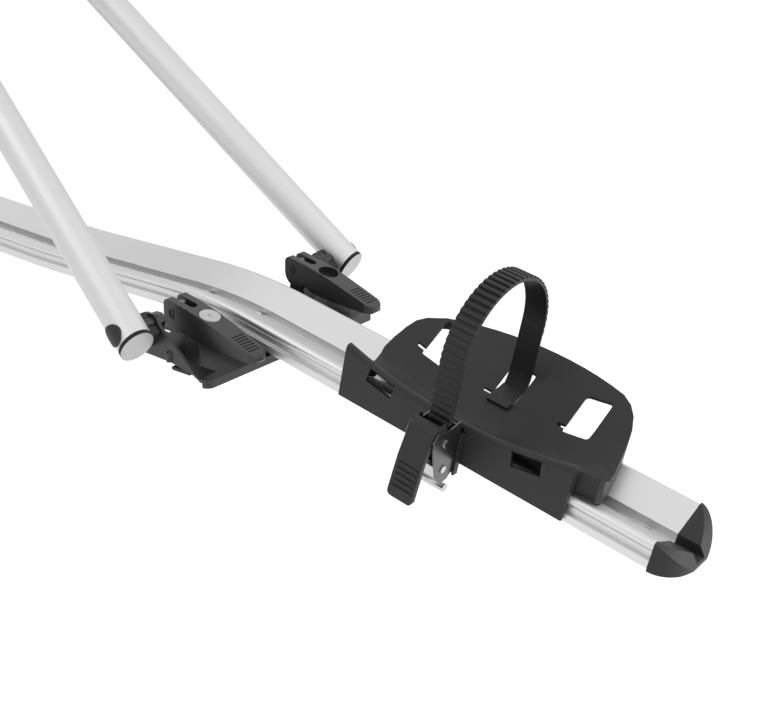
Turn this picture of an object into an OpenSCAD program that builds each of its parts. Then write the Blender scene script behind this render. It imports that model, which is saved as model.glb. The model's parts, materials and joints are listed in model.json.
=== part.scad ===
// Roof-mounted bike carrier with two folding arms, two strapped wheel trays and
// cam clamps for the roof bars. Millimetres. X runs along the wheel rail towards
// the front wheel, Z is up, and the origin is the middle of the front foot's
// contact with the roof bar.

/* [Wheel rail] */
// Distance between the tops of the two rims
rail_rim_w = 80; // [76:1:90]
// Height of the section from its underside to the rims
rail_h = 27; // [26:0.5:32]
// Wall thickness of the extrusion
rail_wall = 2; // [1.6:0.1:2.4]
// Half width of the narrow channel in the floor
rail_floor_half = 7.3; // [6.5:0.1:9]
// Depth of that channel below the foot of the side slopes
rail_channel_d = 8.1; // [6:0.1:9]
// Rise of the side slopes from the channel to the rims
rail_slope_rise = 15.4; // [14:0.1:17]
// Radius of the round bead along each rim
rail_bead_r = 4.6; // [4:0.1:5]
// Width of the bolt slots in the underside
rail_slot_w = 8.6; // [8:0.1:10]
// Distance of each bolt slot from the centre
rail_slot_y = 25; // [22:0.5:28]
// Downward slope of the front stretch
front_slope = 11.8; // [8:0.1:14]
// Length of the sloping front stretch
front_len = 462; // [440:1:520]
// Radius of the crest bend over the front foot
crest_r = 640; // [560:5:800]
// Length of the level stretch behind the crest
level_len = 170; // [150:1:220]
// Radius of the two gentle rear bends
gentle_r = 1200; // [900:10:1500]
// Rise of the stretch between the gentle bends
rear_rise = 3; // [2:0.1:4]
// Length of that rising stretch
rise_len = 170; // [120:1:200]
// Length of the level rear stretch
rear_len = 434; // [420:1:520]
// Height of the rims over the front foot seat at the level stretch
rail_rim_z = 59.1; // [56:0.1:70]
// Where the crest bend ends, behind the front foot
crest_end_x = -68; // [-80:1:-60]

/* [End caps] */
// How far a cap stands out from the rail end
cap_nose = 29; // [24:1:36]
// Half width of the flat lip at the nose
cap_lip_half = 12.5; // [10:0.5:15]
// Depth of the plugs inside the rail
cap_plug_len = 14; // [10:1:20]
// Distance of the cap screw from the rail end
cap_screw_x = 24; // [20:1:30]

/* [Wheel trays] */
// Distance from the front rail end to the front strap
front_strap_x = 208; // [190:1:230]
// Distance from the rear rail end to the rear strap
rear_strap_x = 190; // [180:1:230]
// Radius of the cradle under the tyre
cradle_r = 500; // [420:5:600]
// Wall thickness of the moulding
tray_wall = 3; // [2.5:0.1:4]
// Half length of the near skirt
skirt_half = 126; // [115:1:135]
// Depth of the skirt below the rims
skirt_drop = 23.5; // [20:0.5:25]
// Outer face of the skirt from the centre
skirt_y = 50; // [49:0.5:54]
// Height of the near ridge over the rims
ridge_h = 15; // [13:0.5:18]
// Reach of the far wing from the centre
wing_reach = 94; // [88:1:100]
// Rise of the far wing from the rim to its edge
wing_rise = 37.8; // [34:0.2:42]
// Depth of the turned-down edge of the wing
wing_lip = 9; // [6:0.5:12]
// Distance between neighbouring strap positions
strap_pitch = 82; // [76:1:86]
// Width of a wing window
window_w = 27; // [26.5:0.5:32]
// Inner end of a wing window from the centre
window_y0 = 33; // [31:0.5:35]
// Outer end of a wing window from the centre
window_y1 = 70; // [69:0.5:72]
// Width of a skirt window
skirt_window_w = 30; // [28:0.5:34]

/* [Straps] */
// Width of the strap
strap_w = 24; // [22:0.2:24.4]
// Thickness of the strap between the teeth
strap_t = 3; // [2.5:0.1:3.5]
// Height of a strap tooth
tooth_h = 1.8; // [1.2:0.1:2.2]
// Pitch of the strap teeth
tooth_pitch = 7; // [5:0.1:8]
// Radius over the teeth at the top of the loop
loop_r = 68.5; // [66:0.5:70]
// Height of the centre of the loop over the rims
loop_z = 78; // [70:1:100]
// Sideways place of the centre of the loop
loop_y = -3; // [-4:0.5:-2]
// Radius of the bend at the far end of the strap
strap_end_r = 60; // [50:1:80]
// Turn of the strap at its far end
strap_end_turn = 22; // [15:1:25]

/* [Buckles] */
// Gap between the side plates
buckle_gap = 27.8; // [27.4:0.1:29]
// Thickness of a side plate
buckle_plate_t = 1.6; // [1.2:0.1:2]
// Radius of the buckle pins
buckle_pin_r = 3; // [2.5:0.1:3.5]
// Radius of the rolled edge of the release lever
release_roll_r = 4.2; // [3.5:0.1:5]

/* [Front foot] */
// Front edge of the plate
plate_x1 = 86; // [84:1:95]
// Rear edge of the plate
plate_x0 = -83; // [-95:1:-75]
// Half width of the plate
plate_half = 126; // [124:0.5:130]
// Height of the plate over its seat
plate_h = 9; // [8:0.5:10]
// Sheet thickness of the plate and its wings
plate_t = 3.5; // [3:0.1:4]
// Height of the rubber pads, from the seat up to the plate
pad_h = 5.5; // [4:0.5:6]
// Distance of the cam levers from the centre
lever_y = 88.5; // [86:0.5:92]
// Room for the slotted top wall of a roof bar, below the pads
bar_wall_room = 5.4; // [5:0.1:6]

/* [Cam levers] */
// Width of a cam lever
lever_w = 23; // [21:0.5:25]
// Where the lever turns along the rail
cam_x = 15; // [13:0.5:17]
// Height of the lever pivot over the seat
cam_z = 55; // [54:0.5:57]
// Radius of the cam cheeks
cam_r = 15.7; // [15:0.1:16.2]
// Width of the slot between the cheeks
cheek_gap = 9.5; // [9:0.1:10.5]
// Radius of the barrel pin
barrel_r = 5; // [4.5:0.1:5.5]
// Radius of the tension rods
rod_r = 4; // [3.5:0.1:4]
// Diameter of the lock recess
lock_d = 22; // [18:0.5:22]
// Extra width of the lever at its cam end
lever_flare = 3; // [0:0.5:4]

/* [Arms] */
// Outside diameter of an arm tube
arm_d = 36; // [34:0.5:38]
// Wall thickness of an arm tube
arm_wall = 1.8; // [1.4:0.1:2.5]
// Where the arms pivot along the rail
pivot_x = 12.4; // [10:0.2:16]
// Height of the arm pivot over the seat
pivot_z = 53; // [50:0.5:55]
// Distance of an arm's axis from the centre at the pivot
pivot_y = 156.7; // [155.5:0.1:162]
// Lean of the arms above the horizontal
arm_tilt = 40; // [38:0.5:45]
// Inward turn of each arm
arm_toe = 6.46; // [5.8:0.02:6.8]
// Length of an arm above its pivot
arm_len = 520; // [500:1:545]
// Length of an arm below its pivot
arm_tail = 16.5; // [15:0.5:20]
// Angle of the lower ends against a square cut
arm_end_slant = 10; // [0:0.1:15]
// Radius of the plug over each pivot bolt
bolt_plug_r = 11; // [9:0.5:12]
// Radius of the pivot bolts
bolt_r = 5; // [4.5:0.1:5.5]

/* [Frame clamp] */
// Half height of the clamp head's beam
head_half = 15; // [13:0.5:17]
// Half width of the open space between a jaw pad and the centre
jaw_half_gap = 18; // [16:0.5:20]
// Distance of the spindle past the ends of the arms
spindle_x = 36; // [35:0.5:40]
// Radius of the spindle
spindle_r = 6; // [5:0.1:6.5]
// Length of the jaws past the spindle
jaw_len = 60; // [50:1:66]
// Half height of the jaws
jaw_half_h = 20; // [16:0.5:22]
// Radius of the clamp knob
knob_r = 26; // [22:0.5:28]
// Thickness of the clamp knob
knob_t = 26; // [20:0.5:30]

/* [Rear foot] */
// Place of the rear foot along the rail
rear_foot_x = -640; // [-645:1:-625]
// Length of the rear foot along the rail
rear_foot_len = 88; // [84:1:92]
// Half width of the rear foot
rear_foot_half = 40; // [36:0.5:43]
// Distance of the clamp bolts from the middle of the rear foot
rear_bolt_x = 34; // [33:0.5:36]
// Radius of the clamp bolts
rear_bolt_r = 4; // [3.5:0.1:4]
// Radius of the hand knobs
hand_knob_r = 15; // [13:0.5:17]

/* [Fits] */
// Running clearance round pins and bolts
run_clear = 0.06; // [0.03:0.01:0.09]
// Clearance between pieces that slide or turn past each other
slip = 0.4; // [0.3:0.05:0.6]

/* [Hidden] */
$fn = 48;

black_plastic = "dimgray";
silver = "silver";
steel = "lightgray";
rubber_black = [0.16, 0.16, 0.17];

// Up direction of a stretch that rises by angle a towards the rear, as [x, z]
function up(a) = [sin(a), cos(a)];
// Rearward direction of the same stretch
function rearward(a) = [-cos(a), sin(a)];

// Rim line of the rail, joint by joint from the front end
crest_end = [crest_end_x, rail_rim_z];
crest_centre = crest_end - crest_r * up(0);
crest_start = crest_centre + crest_r * up(front_slope);
front_end = crest_start - front_len * rearward(front_slope);
level_end = crest_end + level_len * rearward(0);
rise_start = level_end + gentle_r * (up(0) - up(rear_rise));
rise_end = rise_start + rise_len * rearward(rear_rise);
rear_start = rise_end + gentle_r * (up(0) - up(rear_rise));
rear_end = rear_start + rear_len * rearward(0);
rear_rim_z = rear_start[1];

// Rail section
rim_y = rail_rim_w / 2;
kink_y = rail_floor_half + 0.2;
floor_h = -rail_slope_rise - rail_channel_d;
slope_k = rail_slope_rise / (rim_y - kink_y);
bead_c = [rim_y + 0.4, -rail_bead_r];
recess_y = rim_y + 1.2;
lip_y = rim_y + 5.4;
lip_top = -rail_h + 9.6;
function arc(c, r, a0, a1, n) = [for (i = [0:n]) c + r * [cos(a0 + (a1 - a0) * i / n), sin(a0 + (a1 - a0) * i / n)]];
rail_outer = concat(
    [[0, floor_h], [rail_floor_half, floor_h], [kink_y, -rail_slope_rise]],
    arc(bead_c, rail_bead_r, 136, -38, 9),
    [[recess_y, lip_top + 7], [recess_y, lip_top + 1.4], [lip_y, lip_top],
     [lip_y, -rail_h + 2.5], [lip_y - 2.4, -rail_h], [0, -rail_h]]);
chamber_y0 = kink_y + rail_wall;
chamber_z0 = -rail_h + rail_wall;
chamber_top_y = rim_y - 3;
rail_chamber = [[chamber_y0, chamber_z0], [chamber_y0, -rail_slope_rise - 0.6],
    [chamber_top_y, -rail_slope_rise + slope_k * (chamber_top_y - kink_y) - 2.2],
    [rim_y + 1.9, -rail_bead_r], [recess_y - rail_wall, lip_top + 7.6],
    [recess_y - rail_wall, lip_top - 0.2], [lip_y - rail_wall, lip_top - 2],
    [lip_y - rail_wall, -rail_h + 3.2], [lip_y - 3.2, chamber_z0]];

// Wheel tray
cradle_slope = slope_k;
tray_floor = -rail_slope_rise + slip + tray_wall + 0.1;
tray_rim_h = tray_floor + cradle_slope * (rim_y - rail_floor_half);
wing_edge_h = tray_rim_h + wing_rise;
front_strap_at = -front_strap_x;
rear_strap_at = rear_end[0] + rear_strap_x;

// Buckle, as [y, h] in the tray's own frame
frame_outline = [[-57, 23], [-53, -5], [-55, -28], [-62, -36], [-73, -38], [-83, -26],
    [-95, 6], [-97, 15], [-91, 23], [-74, 20]];
handle_pin = [-77.5, 7.7];
release_pin = [-73, -21];
roll_c = [-60, -48];
buckle_half = buckle_gap / 2;
leg_bottom = -12;
bracket_t = 6.4;
handle_half = buckle_half - 0.3;
cheek_t = 1.3;
roll_half = buckle_half + 0.5;
far_leg_bottom = 30;

// Front foot and levers
seat_top = cam_z - cam_r - 3.3;
seat_half = 12;
cam_c = [cam_x + 3, cam_z - 3];
lever_tip = [118, 32];
slot_end_x = cam_x + 20;
t_head_half = 12;
t_head_t = 4.6;
t_head_w = 16;
web_y = 104;
wing_foot_z = 17;
wing_slope = [[52, 26], [62, 18], [68, 12.6], [plate_x1 - 13, plate_h], [plate_x1 - 7, plate_h]];
wing_underside = [[36, wing_foot_z - 0.6], [66, 10.4], [plate_x1 - 10, plate_h - plate_t],
    [plate_x1 - 7, plate_h - plate_t]];
wing_boss_r = 8;
plate_corner_r = 8;
foot_bolt_r = 4;
saddle_half = 24;
foot_bolt_x = [-45, 30];
lock_c = [54, 58];
lock_tilt = 17;
lock_depth = 7;
grip_x = 90;
grip_pitch = 3.7;
grip_slope = 20.6;

// Arms and clamp head
arm_r = arm_d / 2;
collar_r = arm_r + 5;
collar_len = 58;
beam_half_y = 76;
beam_x0 = arm_len - 24;
beam_x1 = arm_len + 4;
spin_x = arm_len + spindle_x;
lug_y0 = 76;
lug_y1 = 84;
jaw_y0 = jaw_half_gap + 6;
jaw_block_w = 18;
jaw_t = 8;
knob_y0 = lug_y1 + slip + 3;

// Rear foot
rear_rail_bottom = rear_rim_z - rail_h;
rear_pad_h = 4;
rear_bar_gap = 28;
plate_drop = 6;

module at(p, a) {
    translate([p[0], 0, p[1]]) rotate([0, a, 0]) children();
}

// Lays a [y, z] outline along X, from x0 for a length
module along_x(x0, length) {
    translate([x0, 0, 0]) rotate([90, 0, 90]) linear_extrude(height = length) children();
}

// Lays an [x, z] outline along Y, centred on y
module along_y(y, width) {
    translate([0, y + width / 2, 0]) rotate([90, 0, 0]) linear_extrude(height = width) children();
}

module y_rod(x, y0, y1, z, r) {
    translate([x, y0, z]) rotate([-90, 0, 0]) cylinder(h = y1 - y0, r = r);
}

module mirror_copy() {
    children();
    mirror([0, 1, 0]) children();
}

function flip(points) = [for (i = [len(points) - 1:-1:0]) [-points[i][0], points[i][1]]];
function flip_order(points) = [for (i = [len(points) - 1:-1:0]) points[i]];

// Outline moved outwards by d, corner by corner, for a closed list of points
function edge_normal(a, b) = let (v = b - a) [v[1], -v[0]] / norm(v);
function grown(points, d) = let (n = len(points)) [for (i = [0:n - 1])
    let (a = edge_normal(points[(i + n - 1) % n], points[i]), b = edge_normal(points[i], points[(i + 1) % n]))
    points[i] + d * (a + b) / (1 + a * b)];
rail_loop = concat(rail_outer, flip([for (i = [1:len(rail_outer) - 2]) rail_outer[i]]));

// Section of the rail with every wall fuller by g
module rail_section(g) {
    difference() {
        polygon(grown(rail_loop, -g));
        polygon(grown(rail_chamber, g));
        polygon(flip(grown(rail_chamber, g)));
        for (s = [-1, 1]) translate([s * rail_slot_y - rail_slot_w / 2 + g, -rail_h - 1])
            square([rail_slot_w - 2 * g, rail_wall + 2]);
    }
}

module rail_straight(length) {
    along_x(-length, length) rail_section(0);
}

// The bends are a little fuller and reach into the straights, so that the joints are clean
bend_full = 0.05;
bend_reach = 0.1;

module crest_bend(r, a) {
    translate([0, 0, -r]) rotate([90, -90, 0]) rotate([0, 0, -bend_reach])
        rotate_extrude(angle = a + 2 * bend_reach) translate([r, 0]) rotate(-90) mirror([1, 0]) rail_section(bend_full);
}

module valley_bend(r, a) {
    translate([0, 0, r]) rotate([-90, 90, 0]) rotate([0, 0, -bend_reach])
        rotate_extrude(angle = a + 2 * bend_reach) translate([r, 0]) rotate(90) rail_section(bend_full);
}

module wheel_rail() {
    color(silver) difference() {
        union() {
            at(front_end, front_slope) rail_straight(front_len);
            at(crest_start, front_slope) crest_bend(crest_r, front_slope);
            at(crest_end, 0) rail_straight(level_len);
            at(level_end, 0) valley_bend(gentle_r, rear_rise);
            at(rise_start, rear_rise) rail_straight(rise_len);
            at(rise_end, rear_rise) crest_bend(gentle_r, rear_rise);
            at(rear_start, 0) rail_straight(rear_len);
        }
        at(front_end, front_slope) translate([-cap_screw_x, 0, -rail_h - 5]) cylinder(h = 12, r = 2);
        at(rear_end, 0) translate([cap_screw_x, 0, -rail_h - 5]) cylinder(h = 12, r = 2);
        foot_bolt_holes();
    }
}

module foot_bolt_holes() {
    for (x = foot_bolt_x) translate([x, 0, -1]) cylinder(h = 42, r = foot_bolt_r + 0.1);
}

// End caps, drawn at the rail end with X pointing outwards
cap_half = lip_y - 0.6;
cap_a = cap_nose / sqrt(1 - pow(cap_lip_half / cap_half, 2));
cap_turn = asin(cap_nose / cap_a);
cap_bottom = -rail_h - 1.5;
cap_lip_z = floor_h - 1.5;
cap_side = [for (i = [0:10]) [cap_a * sin(cap_turn * i / 10), cap_half * cos(cap_turn * i / 10)]];

module cap_footprint() {
    polygon(concat(cap_side, [for (i = [10:-1:0]) [cap_side[i][0], -cap_side[i][1]]]));
}

module cap_rise() {
    polygon(concat([[-1, 0.4], [0, 0.4]],
        [for (i = [1:10]) [cap_nose * i / 10, cap_lip_z * pow(i / 10, 1.7)]],
        [[cap_nose + 2, cap_lip_z], [cap_nose + 2, cap_bottom + 1.5], [cap_nose - 5, cap_bottom], [-1, cap_bottom]]));
}

module channel_space() {
    polygon([[-rail_floor_half, floor_h], [rail_floor_half, floor_h], [kink_y, -rail_slope_rise],
        [rim_y - 0.6, -0.4], [rim_y - 0.6, 4], [-rim_y + 0.6, 4], [-rim_y + 0.6, -0.4],
        [-kink_y, -rail_slope_rise]]);
}

// Plug that fills the inner part of a rail chamber, from the bolt slot inwards
module cap_plug() {
    y0 = chamber_y0 + slip;
    y1 = rail_slot_y - rail_slot_w / 2 - 1;
    z0 = chamber_z0 + slip;
    polygon([[y0, z0], [y1, z0], [y1, -rail_slope_rise + slope_k * (y1 - kink_y) - 3.4], [y0, -rail_slope_rise - 1.6]]);
}

module end_cap() {
    color(black_plastic) {
        difference() {
            intersection() {
                translate([0, 0, cap_bottom]) linear_extrude(height = 40) cap_footprint();
                along_y(0, 2 * cap_half + 4) cap_rise();
            }
            along_x(-1, cap_nose + 3) channel_space();
        }
        mirror_copy() along_x(-cap_plug_len, cap_plug_len + 0.5) cap_plug();
        difference() {
            translate([-cap_screw_x - 6, -rail_floor_half + slip, cap_bottom])
                cube([cap_screw_x + 6.5, 2 * (rail_floor_half - slip), -rail_h - cap_bottom]);
            translate([-cap_screw_x, 0, cap_bottom - 1]) cylinder(h = 12, r = 1.8);
        }
    }
}

module at_front_end() {
    at(front_end, front_slope) children();
}

module at_rear_end() {
    translate([rear_end[0], 0, rear_end[1]]) rotate([0, 0, 180]) children();
}

module front_end_cap() {
    at_front_end() end_cap();
}

module rear_end_cap() {
    at_rear_end() end_cap();
}

module cap_screw() {
    color(steel) translate([-cap_screw_x, 0, floor_h]) {
        rotate_extrude() polygon([[0, 0], [4.6, 0], [4.2, 1.3], [2.6, 2.2], [0, 2.4]]);
        translate([0, 0, cap_bottom - floor_h]) cylinder(h = floor_h - cap_bottom + 0.2, r = 1.75);
    }
}

module end_cap_screws() {
    at_front_end() cap_screw();
    at_rear_end() cap_screw();
}

// Front foot
module plate_outline() {
    corner = plate_corner_r;
    front = concat([[plate_x1 - 12, -plate_half]],
        arc([plate_x1 - corner, -plate_half + corner], corner, -90, 0, 4),
        arc([plate_x1 - corner, plate_half - corner], corner, 0, 90, 4), [[plate_x1 - 12, plate_half]]);
    polygon(concat([[plate_x0, -84], [-20, -96], [-4, -web_y], [plate_x1 - 12, -web_y]], front,
        [[plate_x1 - 12, web_y], [-4, web_y], [-20, 96], [plate_x0, 84]]));
}

// Front edge of the plate and the two corners that it turns round
module front_flange() {
    r = plate_corner_r - plate_t;
    c = [plate_x1 - plate_corner_r, plate_half - plate_corner_r];
    difference() {
        intersection() {
            plate_outline();
            translate([c[0], -plate_half]) square([plate_corner_r, 2 * plate_half]);
        }
        polygon(concat([[c[0] - 1, -c[1] - r]], arc([c[0], -c[1]], r, -90, 0, 4), arc(c, r, 0, 90, 4),
            [[c[0] - 1, c[1] + r]]));
    }
}

module wing_profile() {
    polygon(concat([[-2, wing_foot_z + 1], [-1.4, pivot_z + 4], [3, pivot_z + wing_boss_r],
        [pivot_x, pivot_z + wing_boss_r], [19, pivot_z + 2.4], [25, 48], [38.4, 37.4]], wing_slope,
        flip_order(wing_underside)));
    translate([pivot_x, pivot_z]) circle(r = wing_boss_r);
}

// Slanted web that carries a wing on the edge of the sheet, filled out towards the front corner
module wing_web() {
    foot = plate_h - plate_t;
    inner_y = web_y - 2;
    outer_y = plate_half - 2;
    mid_y = (inner_y + outer_y) / 2;
    intersection() {
        along_x(-1.9, plate_x1 - 9.1) polygon([[inner_y, foot], [web_y, foot], [outer_y, wing_foot_z + 0.2],
            [outer_y, wing_foot_z + 4.2], [inner_y, plate_h]]);
        along_y(mid_y, 30) polygon(concat([[-3, 0], [-3, 40], [45, 40]], wing_slope, [[plate_x1, 0]]));
    }
    intersection() {
        along_x(58, plate_x1 - 69) polygon([[inner_y, foot], [outer_y, foot], [outer_y, wing_foot_z + 4.2],
            [inner_y, plate_h]]);
        along_y(mid_y, 30) polygon(concat(wing_slope, flip_order(wing_underside)));
    }
}

module rod_slot(x, y, length, r) {
    translate([x, y, -1]) {
        cylinder(h = plate_h + 2, r = r);
        translate([length, 0, 0]) cylinder(h = plate_h + 2, r = r);
        translate([0, -r, 0]) cube([length, 2 * r, plate_h + 2]);
    }
}

module front_foot_plate() {
    color(black_plastic) difference() {
        union() {
            translate([0, 0, plate_h - plate_t]) linear_extrude(height = plate_t) plate_outline();
            translate([0, 0, 0.5]) linear_extrude(height = plate_h - 1) front_flange();
            translate([plate_x0, -83.5, 0.5]) cube([plate_t, 167, plate_h - 1]);
            mirror_copy() {
                along_y(plate_half - plate_t / 2, plate_t) wing_profile();
                wing_web();
                translate([34, plate_half - 0.5, wing_foot_z]) cylinder(h = 8, r = 3.5);
                translate([34, plate_half - 0.5, wing_foot_z + 8]) sphere(r = 3.5);
            }
        }
        mirror_copy() {
            y_rod(pivot_x, plate_half - 10, plate_half + 10, pivot_z, bolt_r + run_clear);
            translate([cam_x, lever_y, -1]) cylinder(h = plate_h + 2, r = rod_r + slip);
            rod_slot(-60, 52, 18, 4.5);
        }
        foot_bolt_holes();
    }
}

module foot_saddle() {
    color(black_plastic) difference() {
        intersection() {
            translate([crest_end_x + 1, -saddle_half, plate_h]) cube([126, 2 * saddle_half, rail_rim_z - rail_h]);
            y_cylinder(crest_centre, crest_r - rail_h - 0.15, saddle_half + 1);
        }
        foot_bolt_holes();
        translate([-28, -saddle_half - 1, plate_h + 4]) cube([44, 2 * saddle_half + 2, 10]);
    }
}

module y_cylinder(c, r, half) {
    translate([c[0], -half, c[1]]) rotate([-90, 0, 0]) cylinder(h = 2 * half, r = r, $fn = 180);
}

// Height of the rail floor over the seat at a place on the crest
function crest_floor_z(x) = crest_centre[1] + sqrt(pow(crest_r + floor_h, 2) - pow(x - crest_end_x, 2));

module foot_bolts() {
    color(steel) for (x = foot_bolt_x) translate([x, 0, 0]) {
        z = crest_floor_z(x) + 1;
        translate([0, 0, 0.8]) cylinder(h = z - 0.6, r = foot_bolt_r);
        translate([0, 0, z]) intersection() {
            cylinder(h = 4, r = 6.2);
            translate([0, 0, -5.4]) sphere(r = 8.6);
        }
        translate([0, 0, 1]) nut(6.6, plate_h - plate_t - 1.1, foot_bolt_r);
    }
}

module nut(r, h, bore) {
    difference() {
        cylinder(h = h, r = r, $fn = 6);
        translate([0, 0, -1]) cylinder(h = h + 2, r = bore - 0.5);
    }
}

module cam_seats() {
    color(steel) mirror_copy() difference() {
        along_y(lever_y, 17) polygon([[cam_x - seat_half, plate_h], [cam_x + seat_half, plate_h],
            [cam_x + seat_half - 2, seat_top], [cam_x - seat_half + 2, seat_top]]);
        translate([cam_x, lever_y, 0]) cylinder(h = 50, r = rod_r + slip);
    }
}

module front_bar_pads() {
    color(rubber_black) difference() {
        translate([-35, -74, 0]) cube([70, 148, pad_h]);
        for (x = foot_bolt_x) translate([x, 0, -1]) cylinder(h = 12, r = 9);
        for (s = [-1, 1], x = [-26, 0, 26]) translate([x, s * 58, -1]) cylinder(h = 3, r = 3);
    }
}

// Cam clamps
module lever_profile() {
    polygon(concat([[2.8, 64], [4.2, 67.2], [7.5, 69], [30, 64.4], [54, 58], [75, 50.6], [94, 43.6],
        [112, 36.8], [119, 33.6], [122, 31.4], [122, 28], [119.5, 26], [112, 26.2], [84, 28.4],
        [60, 31], [40, 34.2]], arc(cam_c, cam_r, -48, -180, 16)));
}

module lever_plan() {
    half = lever_w / 2;
    flare = lever_flare / 2;
    tip_x = lever_tip[0] + 4 - half;
    polygon([[-20, -half - flare], [10, -half - flare], [tip_x, -half], [tip_x, half], [10, half + flare],
        [-20, half + flare]]);
    translate([tip_x, 0]) circle(r = half);
}

module cam_lever() {
    color(black_plastic) difference() {
        intersection() {
            along_y(0, lever_w + lever_flare) lever_profile();
            linear_extrude(height = 90) lever_plan();
        }
        translate([-20, -cheek_gap / 2, 0]) cube([slot_end_x + 20 - cheek_gap / 2, cheek_gap, 90]);
        translate([slot_end_x - cheek_gap / 2, 0, 0]) cylinder(h = 90, r = cheek_gap / 2);
        y_rod(cam_x, -lever_w, lever_w, cam_z, barrel_r + run_clear);
        translate([lock_c[0], 0, lock_c[1]]) rotate([0, lock_tilt, 0])
            translate([0, 0, -lock_depth]) cylinder(h = 20, r = lock_d / 2);
        for (i = [0:6]) translate([grip_x + grip_pitch * i, -7.5, 45.1 - grip_pitch * i * tan(grip_slope)])
            rotate([0, grip_slope, 0]) translate([-0.8, 0, -1]) cube([1.6, 15, 4]);
    }
}

module left_cam_lever() {
    translate([0, lever_y, 0]) cam_lever();
}

module right_cam_lever() {
    translate([0, -lever_y, 0]) cam_lever();
}

module lever_lock() {
    color(steel) translate([lock_c[0], -lever_y, lock_c[1]]) rotate([0, lock_tilt, 0]) {
        difference() {
            translate([0, 0, slip - lock_depth]) cylinder(h = lock_depth - slip + 0.6, r = lock_d / 2 - slip);
            translate([-3, -0.9, -1.4]) cube([6, 1.8, 4]);
        }
    }
}

module tension_rod() {
    color(steel) translate([cam_x, lever_y, -bar_wall_room - t_head_t])
        cylinder(h = bar_wall_room + t_head_t + cam_z + 10, r = rod_r);
}

module left_tension_rod() {
    tension_rod();
}

module right_tension_rod() {
    mirror([0, 1, 0]) tension_rod();
}

module barrel_pin() {
    color(steel) difference() {
        y_rod(cam_x, lever_y - lever_w / 2 - 0.6, lever_y + lever_w / 2 + 0.6, cam_z, barrel_r);
        translate([cam_x, lever_y, cam_z - 10]) cylinder(h = 20, r = rod_r + run_clear);
        for (s = [-1, 1]) translate([cam_x - 0.8, lever_y + s * (lever_w / 2 + 0.6) - 1.2, cam_z - 10])
            cube([1.6, 2.4, 20]);
    }
}

module left_barrel_pin() {
    barrel_pin();
}

module right_barrel_pin() {
    mirror([0, 1, 0]) barrel_pin();
}

module t_head() {
    color(black_plastic) difference() {
        translate([cam_x, lever_y, -bar_wall_room - t_head_t]) along_x(-t_head_half, 2 * t_head_half)
            polygon([[-t_head_w / 2 + 1.5, 0], [t_head_w / 2 - 1.5, 0], [t_head_w / 2, 1.5],
                [t_head_w / 2, t_head_t], [-t_head_w / 2, t_head_t], [-t_head_w / 2, 1.5]]);
        translate([cam_x, lever_y, -bar_wall_room - t_head_t - 1]) cylinder(h = 20, r = rod_r + run_clear);
    }
}

module left_t_head() {
    t_head();
}

module right_t_head() {
    mirror([0, 1, 0]) t_head();
}

// Arms, drawn with X along the arms and Y towards the right-hand side of the carrier
module in_arms() {
    translate([pivot_x, 0, pivot_z]) rotate([0, -arm_tilt, 180]) children();
}

module arm_axis(side) {
    translate([0, side * pivot_y, 0]) rotate([0, 0, -side * arm_toe]) rotate([0, 90, 0]) children();
}

module pivot_bore(side, r) {
    y_rod(0, side * pivot_y - 40, side * pivot_y + 40, 0, r);
}

// Everything beyond the slanted lower end of one arm, moved out by a distance
module past_arm_end(side, out) {
    arm_axis(side) translate([0, 0, -arm_tail]) rotate([0, arm_end_slant, 0])
        translate([-60, -60, -60 - out]) cube([120, 120, 60]);
}

module arm_tube(side) {
    color(silver) in_arms() difference() {
        arm_axis(side) translate([0, 0, -arm_tail - 10]) difference() {
            cylinder(h = arm_len + arm_tail + 10, r = arm_r);
            translate([0, 0, -1]) cylinder(h = arm_len + arm_tail + 12, r = arm_r - arm_wall);
        }
        past_arm_end(side, 0);
        pivot_bore(side, bolt_r + run_clear);
    }
}

module left_arm() {
    arm_tube(-1);
}

module right_arm() {
    arm_tube(1);
}

// Slice of a cylinder round an arm's axis, between two planes along its lower end
module end_slice(side, r, from, to) {
    difference() {
        intersection() {
            arm_axis(side) translate([0, 0, -arm_tail - 16]) cylinder(h = 40, r = r);
            past_arm_end(side, from);
        }
        past_arm_end(side, to);
    }
}

module arm_end_caps() {
    color(silver) in_arms() for (side = [-1, 1]) {
        end_slice(side, arm_r, 0, 3);
        end_slice(side, arm_r - arm_wall - run_clear, -5, 0.5);
    }
}

module pivot_blocks() {
    color(black_plastic) in_arms() difference() {
        for (side = [-1, 1]) translate([-14, side * (plate_half + slip + 8) - 8, -22]) cube([26, 16, 24]);
        for (side = [-1, 1]) {
            arm_axis(side) translate([0, 0, -60]) cylinder(h = 120, r = arm_r + 0.02);
            pivot_bore(side, bolt_r + run_clear);
        }
    }
}

module pivot_bolts() {
    color(steel) mirror_copy() {
        y_rod(pivot_x, plate_half - plate_t - 9, pivot_y + arm_r - 1.2, pivot_z, bolt_r);
        translate([pivot_x, plate_half - plate_t - 7.2, pivot_z]) rotate([-90, 0, 0]) cylinder(h = 7, r = 8.6, $fn = 6);
    }
}

module pivot_bolt_caps() {
    color(black_plastic) in_arms() for (side = [-1, 1]) difference() {
        intersection() {
            translate([0, side * pivot_y, 0]) rotate([-90 * side, 0, 0]) cylinder(h = arm_r + 5, r = bolt_plug_r);
            arm_axis(side) translate([0, 0, -60]) cylinder(h = 120, r = arm_r + 1.8);
        }
        arm_axis(side) translate([0, 0, -60]) cylinder(h = 120, r = arm_r + 0.02);
    }
}

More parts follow.
